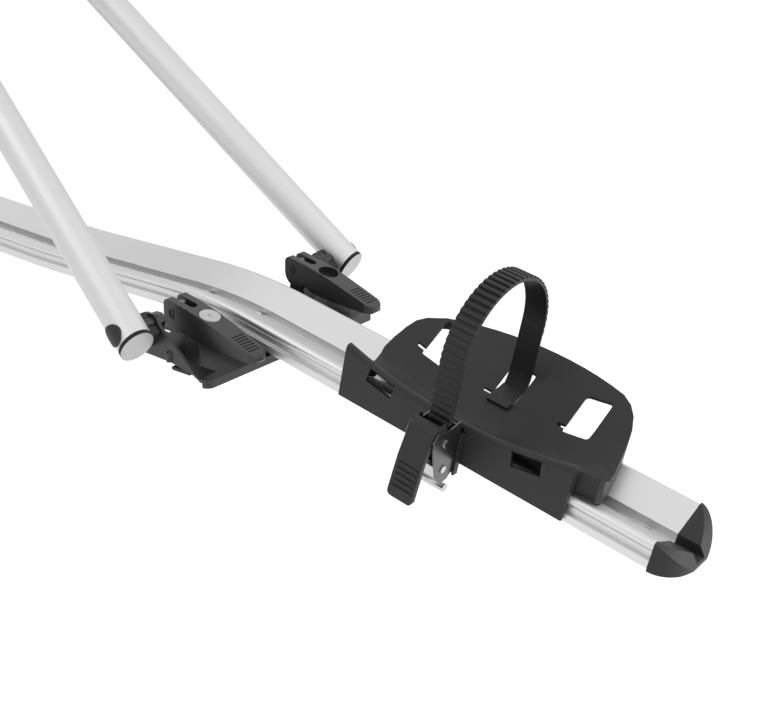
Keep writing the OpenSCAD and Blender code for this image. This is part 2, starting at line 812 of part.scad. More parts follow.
module clamp_head() {
    color(black_plastic) in_arms() difference() {
        union() {
            for (side = [-1, 1]) {
                arm_axis(side) translate([0, 0, arm_len - collar_len]) cylinder(h = collar_len + 4, r = collar_r);
                translate([beam_x1 - 6, side * (lug_y0 + lug_y1) / 2 - (lug_y1 - lug_y0) / 2, -13])
                    cube([spin_x + 12 - beam_x1 + 6, lug_y1 - lug_y0, 26]);
            }
            translate([beam_x0, -beam_half_y - 3, -head_half]) cube([beam_x1 - beam_x0, 2 * beam_half_y + 6, 2 * head_half]);
        }
        for (side = [-1, 1]) arm_axis(side) translate([0, 0, arm_len - 120]) cylinder(h = 120, r = arm_r + 0.03);
        y_rod(spin_x, -lug_y1 - 5, lug_y1 + 5, 0, spindle_r + run_clear);
        for (side = [-1, 1]) translate([beam_x0 + 4, side * 36 - 26, head_half - 9])
            cube([beam_x1 - beam_x0 - 8, 52, 12]);
    }
}

module clamp_spindle() {
    color(steel) in_arms() {
        y_rod(spin_x, -lug_y1 - 4, knob_y0 + knob_t - 8, 0, spindle_r);
        y_rod(spin_x, -lug_y1 - 4, -lug_y1 - slip, 0, spindle_r + 3);
    }
}

module clamp_knob() {
    color(black_plastic) in_arms() translate([spin_x, knob_y0, 0]) rotate([-90, 0, 0]) difference() {
        union() {
            cylinder(h = knob_t - 4, r = knob_r);
            translate([0, 0, knob_t - 4]) cylinder(h = 4, r = knob_r - 5);
        }
        for (i = [0:7]) rotate([0, 0, 45 * i]) translate([knob_r + 4, 0, -1]) cylinder(h = knob_t, r = 8);
        translate([0, 0, -1]) cylinder(h = knob_t - 6.9, r = spindle_r + run_clear);
        translate([0, 0, knob_t - 5]) cylinder(h = 6, r = 9);
    }
}

module knob_lock() {
    color(steel) in_arms() translate([spin_x, knob_y0 + knob_t - 5 + 0.1, 0]) rotate([-90, 0, 0]) difference() {
        cylinder(h = 4.6, r = 9 - slip);
        translate([-0.9, -3, 3]) cube([1.8, 6, 3]);
    }
}

module jaw() {
    color(black_plastic) difference() {
        union() {
            translate([beam_x1 + slip, jaw_y0, -11]) cube([spin_x + 11 - beam_x1 - slip, jaw_block_w, 22]);
            translate([spin_x, jaw_y0, -jaw_half_h]) cube([jaw_len, jaw_t, 2 * jaw_half_h]);
        }
        y_rod(spin_x, jaw_y0 - 1, jaw_y0 + jaw_block_w + 1, 0, spindle_r + run_clear);
    }
}

module jaw_pad() {
    x0 = spin_x + 10;
    x1 = spin_x + jaw_len - 2;
    mid = (x0 + x1) / 2;
    color(rubber_black) translate([0, 0, -jaw_half_h]) linear_extrude(height = 2 * jaw_half_h)
        polygon([[x0, jaw_y0], [x1, jaw_y0], [x1, jaw_half_gap], [x1 - 9, jaw_half_gap],
            [mid, jaw_y0 - 2.2], [x0 + 9, jaw_half_gap], [x0, jaw_half_gap]]);
}

module left_jaw() {
    in_arms() mirror([0, 1, 0]) jaw();
}

module right_jaw() {
    in_arms() jaw();
}

module left_jaw_pad() {
    in_arms() mirror([0, 1, 0]) jaw_pad();
}

module right_jaw_pad() {
    in_arms() jaw_pad();
}

// Wheel tray, drawn with its strap at the origin and the rims at height 0
tray_back = -skirt_half;
tray_front = skirt_half + 20;
wing_edge_r = 271;
wing_edge_c = [12, wing_reach - wing_edge_r];
tray_sweep = 18.5;
near_foot_y = -30;
near_foot_h = tray_floor + cradle_slope * (-near_foot_y - rail_floor_half);
wall_end_y = -21;

tray_outline_points = concat(
    [[tray_back, -skirt_y], [skirt_half, -skirt_y], [skirt_half, -36.5], [tray_front - 2, -33], [tray_front, -27],
     [tray_front - 3, -12], [tray_front - 15, 38], [tray_front - 20, 52], [tray_front - 27, 64], [tray_front - 36, 73]],
    arc(wing_edge_c, wing_edge_r, 71.4, 113.8, 12),
    [[tray_back + 12, 60.5], [tray_back + 5, 53], [tray_back + 1, 43], [tray_back - 1, 28], [tray_back - 1, 14],
     [tray_back + 7, -12], [tray_back + 8, -26], [tray_back, -38]]);

module tray_outline() {
    polygon(tray_outline_points);
}

module cradle_sweep(points) {
    translate([0, 0, cradle_r]) rotate([0, -tray_sweep, 0]) rotate([-90, 90, 0])
        rotate_extrude(angle = 2 * tray_sweep) polygon([for (p = points) [cradle_r - p[1], p[0]]]);
}

wing_k = wing_rise / (wing_reach - rim_y);
wing_far = wing_reach + 6;
clip_top = tray_rim_h + wing_k * (lip_y - rim_y) + 0.9;
tray_top = [[wing_far, tray_rim_h + wing_k * (wing_far - rim_y)], [rim_y + 4, tray_rim_h + wing_k * 4 - 0.3],
    [rim_y - 3, tray_rim_h - cradle_slope * 3], [rail_floor_half, tray_floor], [-rail_floor_half, tray_floor],
    [near_foot_y, near_foot_h]];
near_top = [[near_foot_y - 4, near_foot_h + 3.4], [-39.5, ridge_h - 4], [-42.3, ridge_h - 0.8], [-45, ridge_h],
    [-47.6, ridge_h - 0.7], [-49.4, ridge_h - 2.8], [-skirt_y, ridge_h - 6], [-skirt_y, -4]];
near_under = [[-skirt_y + tray_wall, -4], [-skirt_y + tray_wall, ridge_h - 6], [-45.8, ridge_h - 3.6],
    [-44.2, ridge_h - 3.6], [-42, ridge_h - 6.2], [near_foot_y - 6, near_foot_h + 0.8]];
tray_under = [for (i = [len(tray_top) - 1:-1:0]) [tray_top[i][0] - (i > 2 ? 0 : 0.9), tray_top[i][1] - tray_wall]];

// The rail with clearance all round and everything below it
module rail_room() {
    polygon([[-lip_y - slip, -60], [-lip_y - slip, -3], [-rim_y - 4, 0.6], [-rim_y + 2, 0.6],
        [-kink_y + 0.6, -rail_slope_rise + 0.5], [kink_y - 0.6, -rail_slope_rise + 0.5], [rim_y - 2, 0.6],
        [rim_y + 4, 0.6], [lip_y + slip, -3], [lip_y + slip, -60]]);
}

// Rim of the plan outline, as a wall from below the rail to over the wing
module tray_ring() {
    translate([0, 0, -30]) linear_extrude(height = 110) difference() {
        tray_outline();
        translate([2, 12]) scale(0.974) translate([-2, -12]) tray_outline();
    }
}

// Walls that close the ends of the cradle and turn down along the edge of the wing
module tray_edge() {
    intersection() {
        tray_ring();
        difference() {
            cradle_sweep(concat([for (i = [1:5]) tray_top[i]], [for (i = [0:4]) near_top[i]],
                [[-skirt_y + 1.4, ridge_h - 3], [-skirt_y + 1.4, -20], [-39.5, -20], [-39.5, -40], [rim_y + 4, -40]]));
            translate([tray_back - 20, -skirt_y - 10, -60])
                cube([skirt_half - 4 - tray_back + 20, skirt_y + 10 + wall_end_y, 160]);
            along_x(-200, 400) rail_room();
        }
    }
    intersection() {
        tray_ring();
        cradle_sweep([tray_top[0], tray_top[1], tray_top[2], [rim_y - 3, tray_top[2][1] - wing_lip],
            [rim_y + 4, tray_top[1][1] - wing_lip], [wing_far, tray_top[0][1] - wing_lip]]);
    }
}

module tray_skirt() {
    difference() {
        translate([tray_back, -skirt_y, -skirt_drop]) cube([2 * skirt_half, tray_wall, skirt_drop + 30]);
        translate([0, 0, cradle_r]) rotate([90, 0, 0]) translate([0, 0, -10])
            cylinder(h = skirt_y + 20, r = cradle_r - ridge_h + 6, $fn = 180);
    }
}

// Ribs and clips that hold the tray on the beads of the rail
module tray_clips() {
    rib = [[-skirt_y + 1, -16], [-recess_y - 1.4, -14.6], [-recess_y - 1.4, -12.6], [-skirt_y + 1, -10.6]];
    for (x = [-108, 44]) along_x(x, 64) polygon(rib);
    for (x = [-60, 30]) along_x(x, 30) polygon([[skirt_y - 1, -17], [lip_y + 0.6, -16.2], [recess_y + 1.4, -14.6],
        [recess_y + 1.4, -12.6], [lip_y + 0.6, -11], [lip_y + 0.6, clip_top], [skirt_y - 1, clip_top + wing_k * 3]]);
}

module wing_window() {
    linear_extrude(height = 110) {
        polygon(concat(
            arc([window_w / 2 - 3, window_y1 - 3], 3, 0, 90, 3),
            arc([-window_w / 2 + 3, window_y1 - 3], 3, 90, 180, 3),
            arc([-window_w / 2 + 2, window_y0 + 2], 2, 180, 270, 2),
            arc([window_w / 2 - 3, window_y0 + 3], 3, 270, 360, 3)));
        translate([-window_w / 2 - 9, window_y0 + 3.5]) square([12, 3.6]);
    }
}

module wheel_tray() {
    color(black_plastic) difference() {
        union() {
            intersection() {
                cradle_sweep(concat(tray_top, near_top, near_under, tray_under));
                translate([0, 0, -30]) linear_extrude(height = 110) tray_outline();
            }
            tray_edge();
            tray_skirt();
            tray_clips();
        }
        for (i = [-1:1]) {
            translate([strap_pitch * i, 0, -20]) wing_window();
            translate([0, 0, cradle_r]) rotate([0, -asin(strap_pitch / cradle_r) * i, 0])
                translate([-skirt_window_w / 2, -skirt_y - 4, -cradle_r - 3]) cube([skirt_window_w, 9, ridge_h - 0.5]);
        }
    }
}

// Strap and buckle, in the frame of the tray
band_r = loop_r - tooth_h;
leg_len = loop_z - leg_bottom;
arch_len = PI * band_r;
far_len = loop_z - far_leg_bottom;
end_len = strap_end_r * strap_end_turn * PI / 180;
strap_len = leg_len + arch_len + far_len + end_len;
deg = 180 / PI;
end_c = [loop_y + band_r - strap_end_r, far_leg_bottom];

// Point on the strap at length s from its tip, at height d over the band's outer face
function strap_point(s, d) =
    s < leg_len ? [loop_y - band_r - d, leg_bottom + s] :
    s < leg_len + arch_len ? let (a = 180 - (s - leg_len) / band_r * deg)
        [loop_y + (band_r + d) * cos(a), loop_z + (band_r + d) * sin(a)] :
    s < leg_len + arch_len + far_len ? [loop_y + band_r + d, loop_z - (s - leg_len - arch_len)] :
    let (a = -(s - leg_len - arch_len - far_len) / strap_end_r * deg)
        [end_c[0] + (strap_end_r + d) * cos(a), end_c[1] + (strap_end_r + d) * sin(a)];

tooth_count = floor((leg_len + arch_len + 14) / tooth_pitch);
tooth_shape = [[0, 0], [0.12, 1], [0.5, 0.85], [0.8, 0]];
arch_steps = 24;
inner_stations = concat([0, leg_len], [for (i = [1:arch_steps]) leg_len + arch_len * i / arch_steps],
    [strap_len - end_len], [for (i = [1:4]) strap_len - end_len * (4 - i) / 4]);
strap_outer = concat(
    [for (i = [0:tooth_count - 1], t = tooth_shape) strap_point((i + 0.3 + t[0]) * tooth_pitch, t[1] * tooth_h)],
    [strap_point(strap_len - end_len, 0)], [for (i = [1:4]) strap_point(strap_len - end_len * (4 - i) / 4, 0)]);

module strap_profile() {
    polygon(concat([strap_point(0, 0)], strap_outer,
        [for (i = [len(inner_stations) - 1:-1:0]) strap_point(inner_stations[i], -strap_t)]));
}

module strap() {
    color(rubber_black) along_x(-strap_w / 2, strap_w) strap_profile();
}

module strap_anchor() {
    tip = strap_point(strap_len, 1.6);
    root = strap_point(strap_len, -strap_t - 1.6);
    color(black_plastic) along_x(-strap_w / 2, strap_w) polygon([tip, [tip[0] - 1.5, -3], [54, -9], [49, -9],
        [lip_y + 1.6, -2], [rim_y + 4, 1.2], [window_y0 + 0.6, 1.2], [window_y0 - 4, -0.8], [window_y0 - 4.6, 2],
        [window_y0 + 4, 6.4], [rim_y + 8, 7.2], root]);
}

module buckle_frame() {
    color(steel) difference() {
        union() {
            for (x = [-buckle_half - buckle_plate_t, buckle_half]) along_x(x, buckle_plate_t) polygon(frame_outline);
            along_x(-buckle_half - 0.5, buckle_gap + 1)
                translate([-skirt_y - bracket_t - buckle_plate_t, -27]) square([buckle_plate_t, 45]);
        }
        for (p = [handle_pin, release_pin]) x_bore(p, buckle_pin_r + run_clear);
    }
}

module x_bore(p, r) {
    translate([-30, p[0], p[1]]) rotate([0, 90, 0]) cylinder(h = 60, r = r);
}

module x_rod(p, half, r) {
    translate([-half, p[0], p[1]]) rotate([0, 90, 0]) cylinder(h = 2 * half, r = r);
}

module buckle_bracket() {
    face = -skirt_y - bracket_t;
    color(black_plastic) difference() {
        union() {
            translate([-18, face, -34]) cube([36, bracket_t, 42]);
            translate([-12, -skirt_y - 1, 1.2]) cube([24, tray_wall + 2.8, 7]);
            translate([-18, -skirt_y + tray_wall, 1.2]) cube([36, 1.8, 7]);
        }
        for (s = [-1, 1]) translate([s * (buckle_half + buckle_plate_t / 2) - buckle_plate_t / 2 - 0.2, face - 1, -35])
            cube([buckle_plate_t + 0.4, 5.2, 44]);
    }
}

module buckle_pins() {
    color(steel) for (p = [handle_pin, release_pin]) {
        x_rod(p, buckle_half + buckle_plate_t + 0.5, buckle_pin_r);
        for (s = [-1, 1]) translate([s * (buckle_half + buckle_plate_t + 0.65), 0, 0]) x_rod(p, 0.65, buckle_pin_r + 0.7);
    }
}

handle_outer = [[-88, 28.1], [-91, 27.8], [-96.5, 20.5], [-104.5, -7], [-110, -40], [-110.4, -46.6]];
handle_inner = [[-105.4, -46.8], [-105, -39.6], [-99.6, -6], [-92.2, 18.6], [-88, 23]];
handle_tip = -46.4;
handle_corner_r = 4.5;

module buckle_handle() {
    color(black_plastic) difference() {
        union() {
            x_rod(handle_pin, handle_half, 5.5);
            intersection() {
                along_x(-handle_half, 2 * handle_half) polygon(concat(handle_outer, handle_inner));
                translate([0, -70, 0]) rotate([90, 0, 0]) linear_extrude(height = 60) {
                    translate([-handle_half, handle_tip + handle_corner_r]) square([2 * handle_half, 90]);
                    translate([handle_corner_r - handle_half, handle_tip])
                        square([2 * (handle_half - handle_corner_r), 20]);
                    for (s = [-1, 1]) translate([s * (handle_half - handle_corner_r), handle_tip + handle_corner_r])
                        circle(r = handle_corner_r);
                }
            }
            for (x = [-handle_half, handle_half - cheek_t]) along_x(x, cheek_t) polygon([handle_pin, [-72.6, 10],
                [-76, 20], [-80, 28.4], [-88, 28.1], [-95, 23], [-97, 14], [-84, 5], [-79, 2.6]]);
            for (i = [0:4]) translate([3 - handle_half, -106.9 - 0.94 * i, -14 - 5.7 * i])
                cube([2 * handle_half - 6, 2, 2]);
        }
        x_bore(handle_pin, buckle_pin_r + run_clear);
    }
}

module release_lever() {
    color(steel) difference() {
        union() {
            x_rod(release_pin, buckle_half - 0.5, 4.4);
            along_x(-buckle_half + 0.5, buckle_gap - 1) polygon([[-74, -23], [-72.4, -22.4], [-66, -36],
                [-60.4, -44.2], [-61.8, -45.2], [-67.6, -36.6]]);
            x_rod(roll_c, roll_half, release_roll_r);
        }
        x_bore(release_pin, buckle_pin_r + run_clear);
    }
}

module on_front_tray() {
    at_front_end() translate([front_strap_at, 0, 0]) children();
}

module on_rear_tray() {
    translate([rear_strap_at, 0, rear_rim_z]) children();
}

module front_wheel_tray() {
    on_front_tray() wheel_tray();
}

module front_strap() {
    on_front_tray() strap();
}

module front_strap_anchor() {
    on_front_tray() strap_anchor();
}

module front_buckle_frame() {
    on_front_tray() buckle_frame();
}

module front_buckle_bracket() {
    on_front_tray() buckle_bracket();
}

module front_buckle_pins() {
    on_front_tray() buckle_pins();
}

module front_buckle_handle() {
    on_front_tray() buckle_handle();
}

module front_release_lever() {
    on_front_tray() release_lever();
}

module rear_wheel_tray() {
    on_rear_tray() wheel_tray();
}

module rear_strap() {
    on_rear_tray() strap();
}

module rear_strap_anchor() {
    on_rear_tray() strap_anchor();
}

module rear_buckle_frame() {
    on_rear_tray() buckle_frame();
}

module rear_buckle_bracket() {
    on_rear_tray() buckle_bracket();
}

module rear_buckle_pins() {
    on_rear_tray() buckle_pins();
}

module rear_buckle_handle() {
    on_rear_tray() buckle_handle();
}

module rear_release_lever() {
    on_rear_tray() release_lever();
}

// Rear foot
rear_top = rear_rail_bottom - 0.3;
head_h = 4;
plate_top = -rear_bar_gap;
rear_plate_t = 4;
knob_h = 16;

module at_rear_foot() {
    translate([rear_foot_x, 0, 0]) children();
}

module slot_bolt_places() {
    for (x = [-16, 16], y = [-rail_slot_y, rail_slot_y]) translate([x, y, 0]) children();
}

module clamp_bolt_places() {
    for (s = [-1, 1]) translate([s * rear_bolt_x, 0, 0]) children();
}

module rear_foot() {
    color(black_plastic) at_rear_foot() difference() {
        intersection() {
            along_y(0, 2 * rear_foot_half) polygon([[-rear_foot_len / 2, rear_pad_h], [rear_foot_len / 2, rear_pad_h],
                [rear_foot_len / 2, rear_top - 12], [rear_foot_len / 2 - 3, rear_top], [3 - rear_foot_len / 2, rear_top],
                [-rear_foot_len / 2, rear_top - 12]]);
            along_x(-rear_foot_len, 2 * rear_foot_len) polygon([[-rear_foot_half, 0], [rear_foot_half, 0],
                [rear_foot_half, rear_pad_h + 8], [rear_foot_half - 3, rear_top], [3 - rear_foot_half, rear_top],
                [-rear_foot_half, rear_pad_h + 8]]);
        }
        slot_bolt_places() {
            translate([0, 0, -1]) cylinder(h = 60, r = rail_slot_w / 2 - slip + run_clear);
            translate([0, 0, -1]) cylinder(h = rear_pad_h + 8, r = 8.5);
        }
        clamp_bolt_places() {
            translate([0, 0, -1]) cylinder(h = 60, r = rear_bolt_r + run_clear);
            translate([0, 0, rear_top - 5.6]) cylinder(h = 10, r = 8);
        }
        translate([-8, -rear_foot_half - 1, rear_pad_h + 10]) cube([16, 2 * rear_foot_half + 2, rear_top - rear_pad_h - 18]);
    }
}

module rear_foot_pad() {
    color(rubber_black) at_rear_foot() difference() {
        translate([2 - rear_foot_len / 2, 2 - rear_foot_half, 0]) cube([rear_foot_len - 4, 2 * rear_foot_half - 4, rear_pad_h]);
        slot_bolt_places() translate([0, 0, -1]) cylinder(h = 10, r = 8.5);
        clamp_bolt_places() translate([0, 0, -1]) cylinder(h = 10, r = rear_bolt_r + 1);
    }
}

module rear_foot_bolts() {
    color(steel) at_rear_foot() slot_bolt_places() {
        translate([0, 0, rear_pad_h]) cylinder(h = rear_rim_z - rail_h + rail_wall + 0.3 - rear_pad_h + 1, r = rail_slot_w / 2 - slip);
        translate([-8, -7.5, rear_rim_z + chamber_z0 + 0.3]) cube([16, 15, head_h]);
        translate([0, 0, rear_pad_h + 0.9]) cylinder(h = 6.1, r = 7.4, $fn = 6);
    }
}

module rear_clamp_bolts() {
    color(steel) at_rear_foot() clamp_bolt_places() {
        translate([0, 0, plate_top - rear_plate_t - knob_h - plate_drop - 4])
            cylinder(h = rear_top - 1 - plate_top + rear_plate_t + knob_h + plate_drop + 4, r = rear_bolt_r);
        translate([0, 0, rear_top - 5.6]) cylinder(h = 5.2, r = 7.4, $fn = 6);
    }
}

module rear_clamp_plate() {
    color(steel) at_rear_foot() difference() {
        union() {
            translate([-rear_foot_len / 2, -24, plate_top - rear_plate_t]) cube([rear_foot_len, 48, rear_plate_t]);
            for (y = [-24, 21]) translate([-rear_foot_len / 2, y, plate_top - 10]) cube([rear_foot_len, 3, 10]);
        }
        clamp_bolt_places() translate([0, 0, plate_top - 20]) cylinder(h = 30, r = rear_bolt_r + slip);
    }
}

module hand_knob() {
    color(black_plastic) translate([0, 0, plate_top - rear_plate_t - 0.3 - knob_h]) difference() {
        union() {
            cylinder(h = knob_h - 3, r = hand_knob_r);
            cylinder(h = knob_h, r = hand_knob_r - 5);
        }
        for (i = [0:5]) rotate([0, 0, 60 * i]) translate([hand_knob_r + 2.5, 0, -1]) cylinder(h = knob_h - 1.9, r = 5);
        translate([0, 0, -1]) cylinder(h = knob_h + 2, r = rear_bolt_r + run_clear);
    }
}

module rear_front_knob() {
    at_rear_foot() translate([rear_bolt_x, 0, 0]) hand_knob();
}

module rear_back_knob() {
    at_rear_foot() translate([-rear_bolt_x, 0, 0]) hand_knob();
}

wheel_rail();
front_end_cap();
rear_end_cap();
end_cap_screws();
front_foot_plate();
foot_saddle();
foot_bolts();
cam_seats();
front_bar_pads();
pivot_bolts();
left_arm();
right_arm();
arm_end_caps();
pivot_blocks();
pivot_bolt_caps();
clamp_head();
clamp_spindle();
clamp_knob();
knob_lock();
left_jaw();
right_jaw();
left_jaw_pad();
right_jaw_pad();
left_cam_lever();
right_cam_lever();
lever_lock();
left_tension_rod();
right_tension_rod();
left_barrel_pin();
right_barrel_pin();
left_t_head();
right_t_head();
front_wheel_tray();
front_strap();
front_strap_anchor();
front_buckle_frame();
front_buckle_bracket();
front_buckle_pins();
front_buckle_handle();
front_release_lever();
rear_wheel_tray();
rear_strap();
rear_strap_anchor();
rear_buckle_frame();
rear_buckle_bracket();
rear_buckle_pins();
rear_buckle_handle();
rear_release_lever();
rear_foot();
rear_foot_pad();
rear_foot_bolts();
rear_clamp_plate();
rear_clamp_bolts();
rear_front_knob();
rear_back_knob();
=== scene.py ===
# %% [markdown]
# # A roof-mounted bike carrier
# A bent aluminium wheel rail lies along a car's roof. Two black trays hold the wheels with
# ratchet straps, and two leaning arms hold the frame. The solids come from the CAD model,
# which also knows how each piece moves. This lesson loads them, gives the hard moulded and
# pressed pieces the rounded edges that light catches on the real thing, models the rail and
# the ribbed straps again with smooth surfaces, and paints everything with node materials.
# Blender works in metres. The carrier's own lengths are written in millimetres here, and they
# are multiplied by `MM` where they enter a mesh.

import json
import math

import bmesh
import bpy
from mathutils import Matrix, Vector

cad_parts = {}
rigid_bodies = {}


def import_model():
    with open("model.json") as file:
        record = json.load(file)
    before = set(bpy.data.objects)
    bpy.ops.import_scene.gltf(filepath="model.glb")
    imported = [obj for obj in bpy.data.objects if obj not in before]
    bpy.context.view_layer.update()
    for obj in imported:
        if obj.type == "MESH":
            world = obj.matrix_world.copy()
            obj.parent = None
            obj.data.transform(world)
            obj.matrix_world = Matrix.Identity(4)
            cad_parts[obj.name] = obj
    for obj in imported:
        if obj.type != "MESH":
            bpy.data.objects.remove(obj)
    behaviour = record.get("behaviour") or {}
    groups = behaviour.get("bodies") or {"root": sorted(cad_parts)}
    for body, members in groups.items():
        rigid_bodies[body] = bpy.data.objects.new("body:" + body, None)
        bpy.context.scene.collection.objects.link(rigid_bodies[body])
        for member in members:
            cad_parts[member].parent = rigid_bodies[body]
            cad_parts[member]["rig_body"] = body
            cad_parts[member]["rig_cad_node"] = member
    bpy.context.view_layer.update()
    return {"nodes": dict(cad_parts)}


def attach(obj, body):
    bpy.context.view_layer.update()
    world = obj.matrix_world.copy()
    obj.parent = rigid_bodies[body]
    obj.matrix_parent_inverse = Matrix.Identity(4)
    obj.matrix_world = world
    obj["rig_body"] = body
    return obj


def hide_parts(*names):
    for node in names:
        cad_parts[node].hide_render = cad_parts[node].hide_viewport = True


MM = 0.001
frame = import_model()
cad_nodes = frame["nodes"]
scene = bpy.context.scene

# %% [markdown]
# ## The camera
# The picture was taken from in front of the carrier, to its right and above it, with a short
# tele lens. The camera's place, its two angles and its lens come from matching the rail, the
# arms, the front tray and its strap with the picture, all together. Blender's camera looks
# along its own -Z, so turning it up by 90 degrees less its dip makes it look slightly down.

# %% Place the camera
CAMERA_PLACE = (0.888751, -0.875910, 0.469193)
CAMERA_DIP, CAMERA_TURN = 0.37591922, 0.66674299
SENSOR_WIDTH, LENS = 36, 58.27
NEAREST, FURTHEST = 0.05, 60

camera = bpy.data.objects.new("Camera", bpy.data.cameras.new("Camera"))
camera.data.sensor_width = SENSOR_WIDTH
camera.data.lens = LENS
camera.data.clip_start = NEAREST
camera.data.clip_end = FURTHEST
camera.location = CAMERA_PLACE
camera.rotation_euler = (math.pi / 2 - CAMERA_DIP, 0, CAMERA_TURN)
scene.collection.objects.link(camera)
scene.camera = camera
scene.view_settings.view_transform = "Standard"
print("camera", [round(x, 3) for x in camera.location], "lens", camera.data.lens, "mm")

# %% [markdown]
# ## Turning a bmesh into a finished piece
# Every new piece ends in the same way: its mesh gets an object at the origin, its faces are
# shaded smooth with sharp edges kept sharp, it is told which body it rides on, and the CAD
# solids it stands for are hidden. The weighted normal modifier lets big faces rule the
# shading, so that a rounded edge looks round and a flat face flat.

# %% Make a piece from a bmesh
collection = scene.collection
SHADING_CREASE = 38


def finished(name, bm, body, stands_for=(), crease=SHADING_CREASE):
    mesh = bpy.data.meshes.new(name)
    bm.to_mesh(mesh)
    bm.free()
    for layer in ("custom_normal", "sharp_face", "sharp_edge"):
        if layer in mesh.attributes:
            mesh.attributes.remove(mesh.attributes[layer])
    mesh.shade_smooth()
    mesh.set_sharp_from_angle(angle=math.radians(crease))
    piece = bpy.data.objects.new(name, mesh)
    collection.objects.link(piece)
    weighted = piece.modifiers.new("Even shading", "WEIGHTED_NORMAL")
    weighted.keep_sharp = True
    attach(piece, body)
    if stands_for:
        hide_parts(*stands_for)
    print(name, "has", len(mesh.polygons), "faces")
    return piece


print("edges sharper than", SHADING_CREASE, "degrees stay sharp")

# %% [markdown]
# ## Rounded edges
# A moulded or pressed piece never has a knife edge: a radius of half a millimetre is enough to
# catch a thin line of light. The bevel could be a modifier, but on a copy of the CAD mesh the
# operator gives more control: doubles are merged, the triangles of flat faces are dissolved
# into one face, and only edges sharper than a chosen angle are bevelled.

# %% A softened copy of a CAD solid
DOUBLES, FLAT, CREASE = 0.002, math.radians(0.6), math.radians(32)
ROUND_STEPS = 2


def softened(node, width):
    bm = bmesh.new()
    bm.from_mesh(cad_nodes[node].data)
    bmesh.ops.remove_doubles(bm, verts=bm.verts, dist=DOUBLES * MM)
    bmesh.ops.dissolve_limit(bm, angle_limit=FLAT, verts=bm.verts, edges=bm.edges)
    edges = [e for e in bm.edges if len(e.link_faces) == 2 and e.calc_face_angle(0) > CREASE]
    bmesh.ops.bevel(bm, geom=edges, offset=width * MM, offset_type="OFFSET", profile=0.5,
                    segments=ROUND_STEPS, affect="EDGES", clamp_overlap=True, material=-1)
    bmesh.ops.triangulate(bm, faces=[f for f in bm.faces if len(f.verts) > 4])
    return finished(node + "_shape", bm, cad_nodes[node]["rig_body"], [node])


print("edges sharper than", round(math.degrees(CREASE)), "degrees get a radius")

# %% [markdown]
# ## The wheel rail
# The rail is one aluminium extrusion: the same hollow section from end to end, bent three
# times. That is how it is made here too. The half section is a list of corners, mirrored to a
# closed loop, and a small vertex bevel rounds its corners. The loop is then pulled along the
# straights with an extrusion and turned round the bends with a spin, so the surface is as
# smooth as the die left it.

# %% The rail's section
RIM_Y, RAIL_H, WALL = 40, 27, 2
KINK_Y, SLOPE_RISE = 7.5, 15.4
FLOOR_HALF, FLOOR_H = 7.3, -SLOPE_RISE - 8.1
SLOPE = SLOPE_RISE / (RIM_Y - KINK_Y)
BEAD_Y, BEAD_R, BEAD_FROM, BEAD_TO, BEAD_STEPS = RIM_Y + 0.4, 4.6, 136, -38, 14
RECESS_Y, LIP_Y, LIP_TOP = RIM_Y + 1.2, RIM_Y + 5.4, -RAIL_H + 9.6
SLOT_Y, SLOT_HALF = 25, 4.3
SLOT_IN, SLOT_OUT = SLOT_Y - SLOT_HALF, SLOT_Y + SLOT_HALF
INSIDE_Z = -RAIL_H + WALL


def arc_points(cy, cz, radius, start, end, steps):
    turns = [math.radians(start + (end - start) * i / steps) for i in range(steps + 1)]
    return [(cy + radius * math.cos(t), cz + radius * math.sin(t)) for t in turns]


# From the tyre channel's floor up its slope, and round the bead that forms the rim.
half_section = [(FLOOR_HALF, FLOOR_H), (KINK_Y, -SLOPE_RISE)]
half_section += arc_points(BEAD_Y, -BEAD_R, BEAD_R, BEAD_FROM, BEAD_TO, BEAD_STEPS)
half_section += [
    # Down the recess in the side, over the lip below it and on to the slot in the underside.
    (RECESS_Y, LIP_TOP + 7), (RECESS_Y, LIP_TOP + 1.4), (LIP_Y, LIP_TOP),
    (LIP_Y, -RAIL_H + 2.5), (LIP_Y - 2.4, -RAIL_H), (SLOT_OUT, -RAIL_H),
    # Into the hollow, and up along the inside of the lip, the recess and the bead.
    (SLOT_OUT, INSIDE_Z), (LIP_Y - 3.2, INSIDE_Z), (LIP_Y - WALL, -RAIL_H + 3.2),
    (LIP_Y - WALL, LIP_TOP - 2), (RECESS_Y - WALL, LIP_TOP - 0.2),
    (RECESS_Y - WALL, LIP_TOP + 7.6), (RIM_Y + 1.9, -BEAD_R),
    # Back below the slope to the hollow's floor, and out again at the slot's inner side.
    (RIM_Y - 3, -SLOPE_RISE + SLOPE * (RIM_Y - 3 - KINK_Y) - 2.2),
    (KINK_Y + WALL, -SLOPE_RISE - 0.6), (KINK_Y + WALL, INSIDE_Z),
    (SLOT_IN, INSIDE_Z), (SLOT_IN, -RAIL_H),
]
section = half_section + [(-y, z) for y, z in reversed(half_section)]
print("the rail's section has", len(section), "corners")

# %% [markdown]
# The path is the same as in the CAD model. `up` is the direction that is square to a stretch
# of the rail which rises towards the rear by that angle, and `rearward` runs along it. From
# the front the rail climbs to a crest and runs level, then it climbs a little more and ends
# level again, and its last two bends are very gentle.

# %% The rail's path
FRONT_SLOPE, REAR_RISE = math.radians(11.8), math.radians(3)
FRONT_LENGTH, MIDDLE_LENGTH, REAR_LENGTH = 462, 170, 434
CREST_R, GENTLE_R = 640, 1200


def up(angle):
    return Vector((math.sin(angle), 0, math.cos(angle)))


def rearward(angle):
    return Vector((-math.cos(angle), 0, math.sin(angle)))


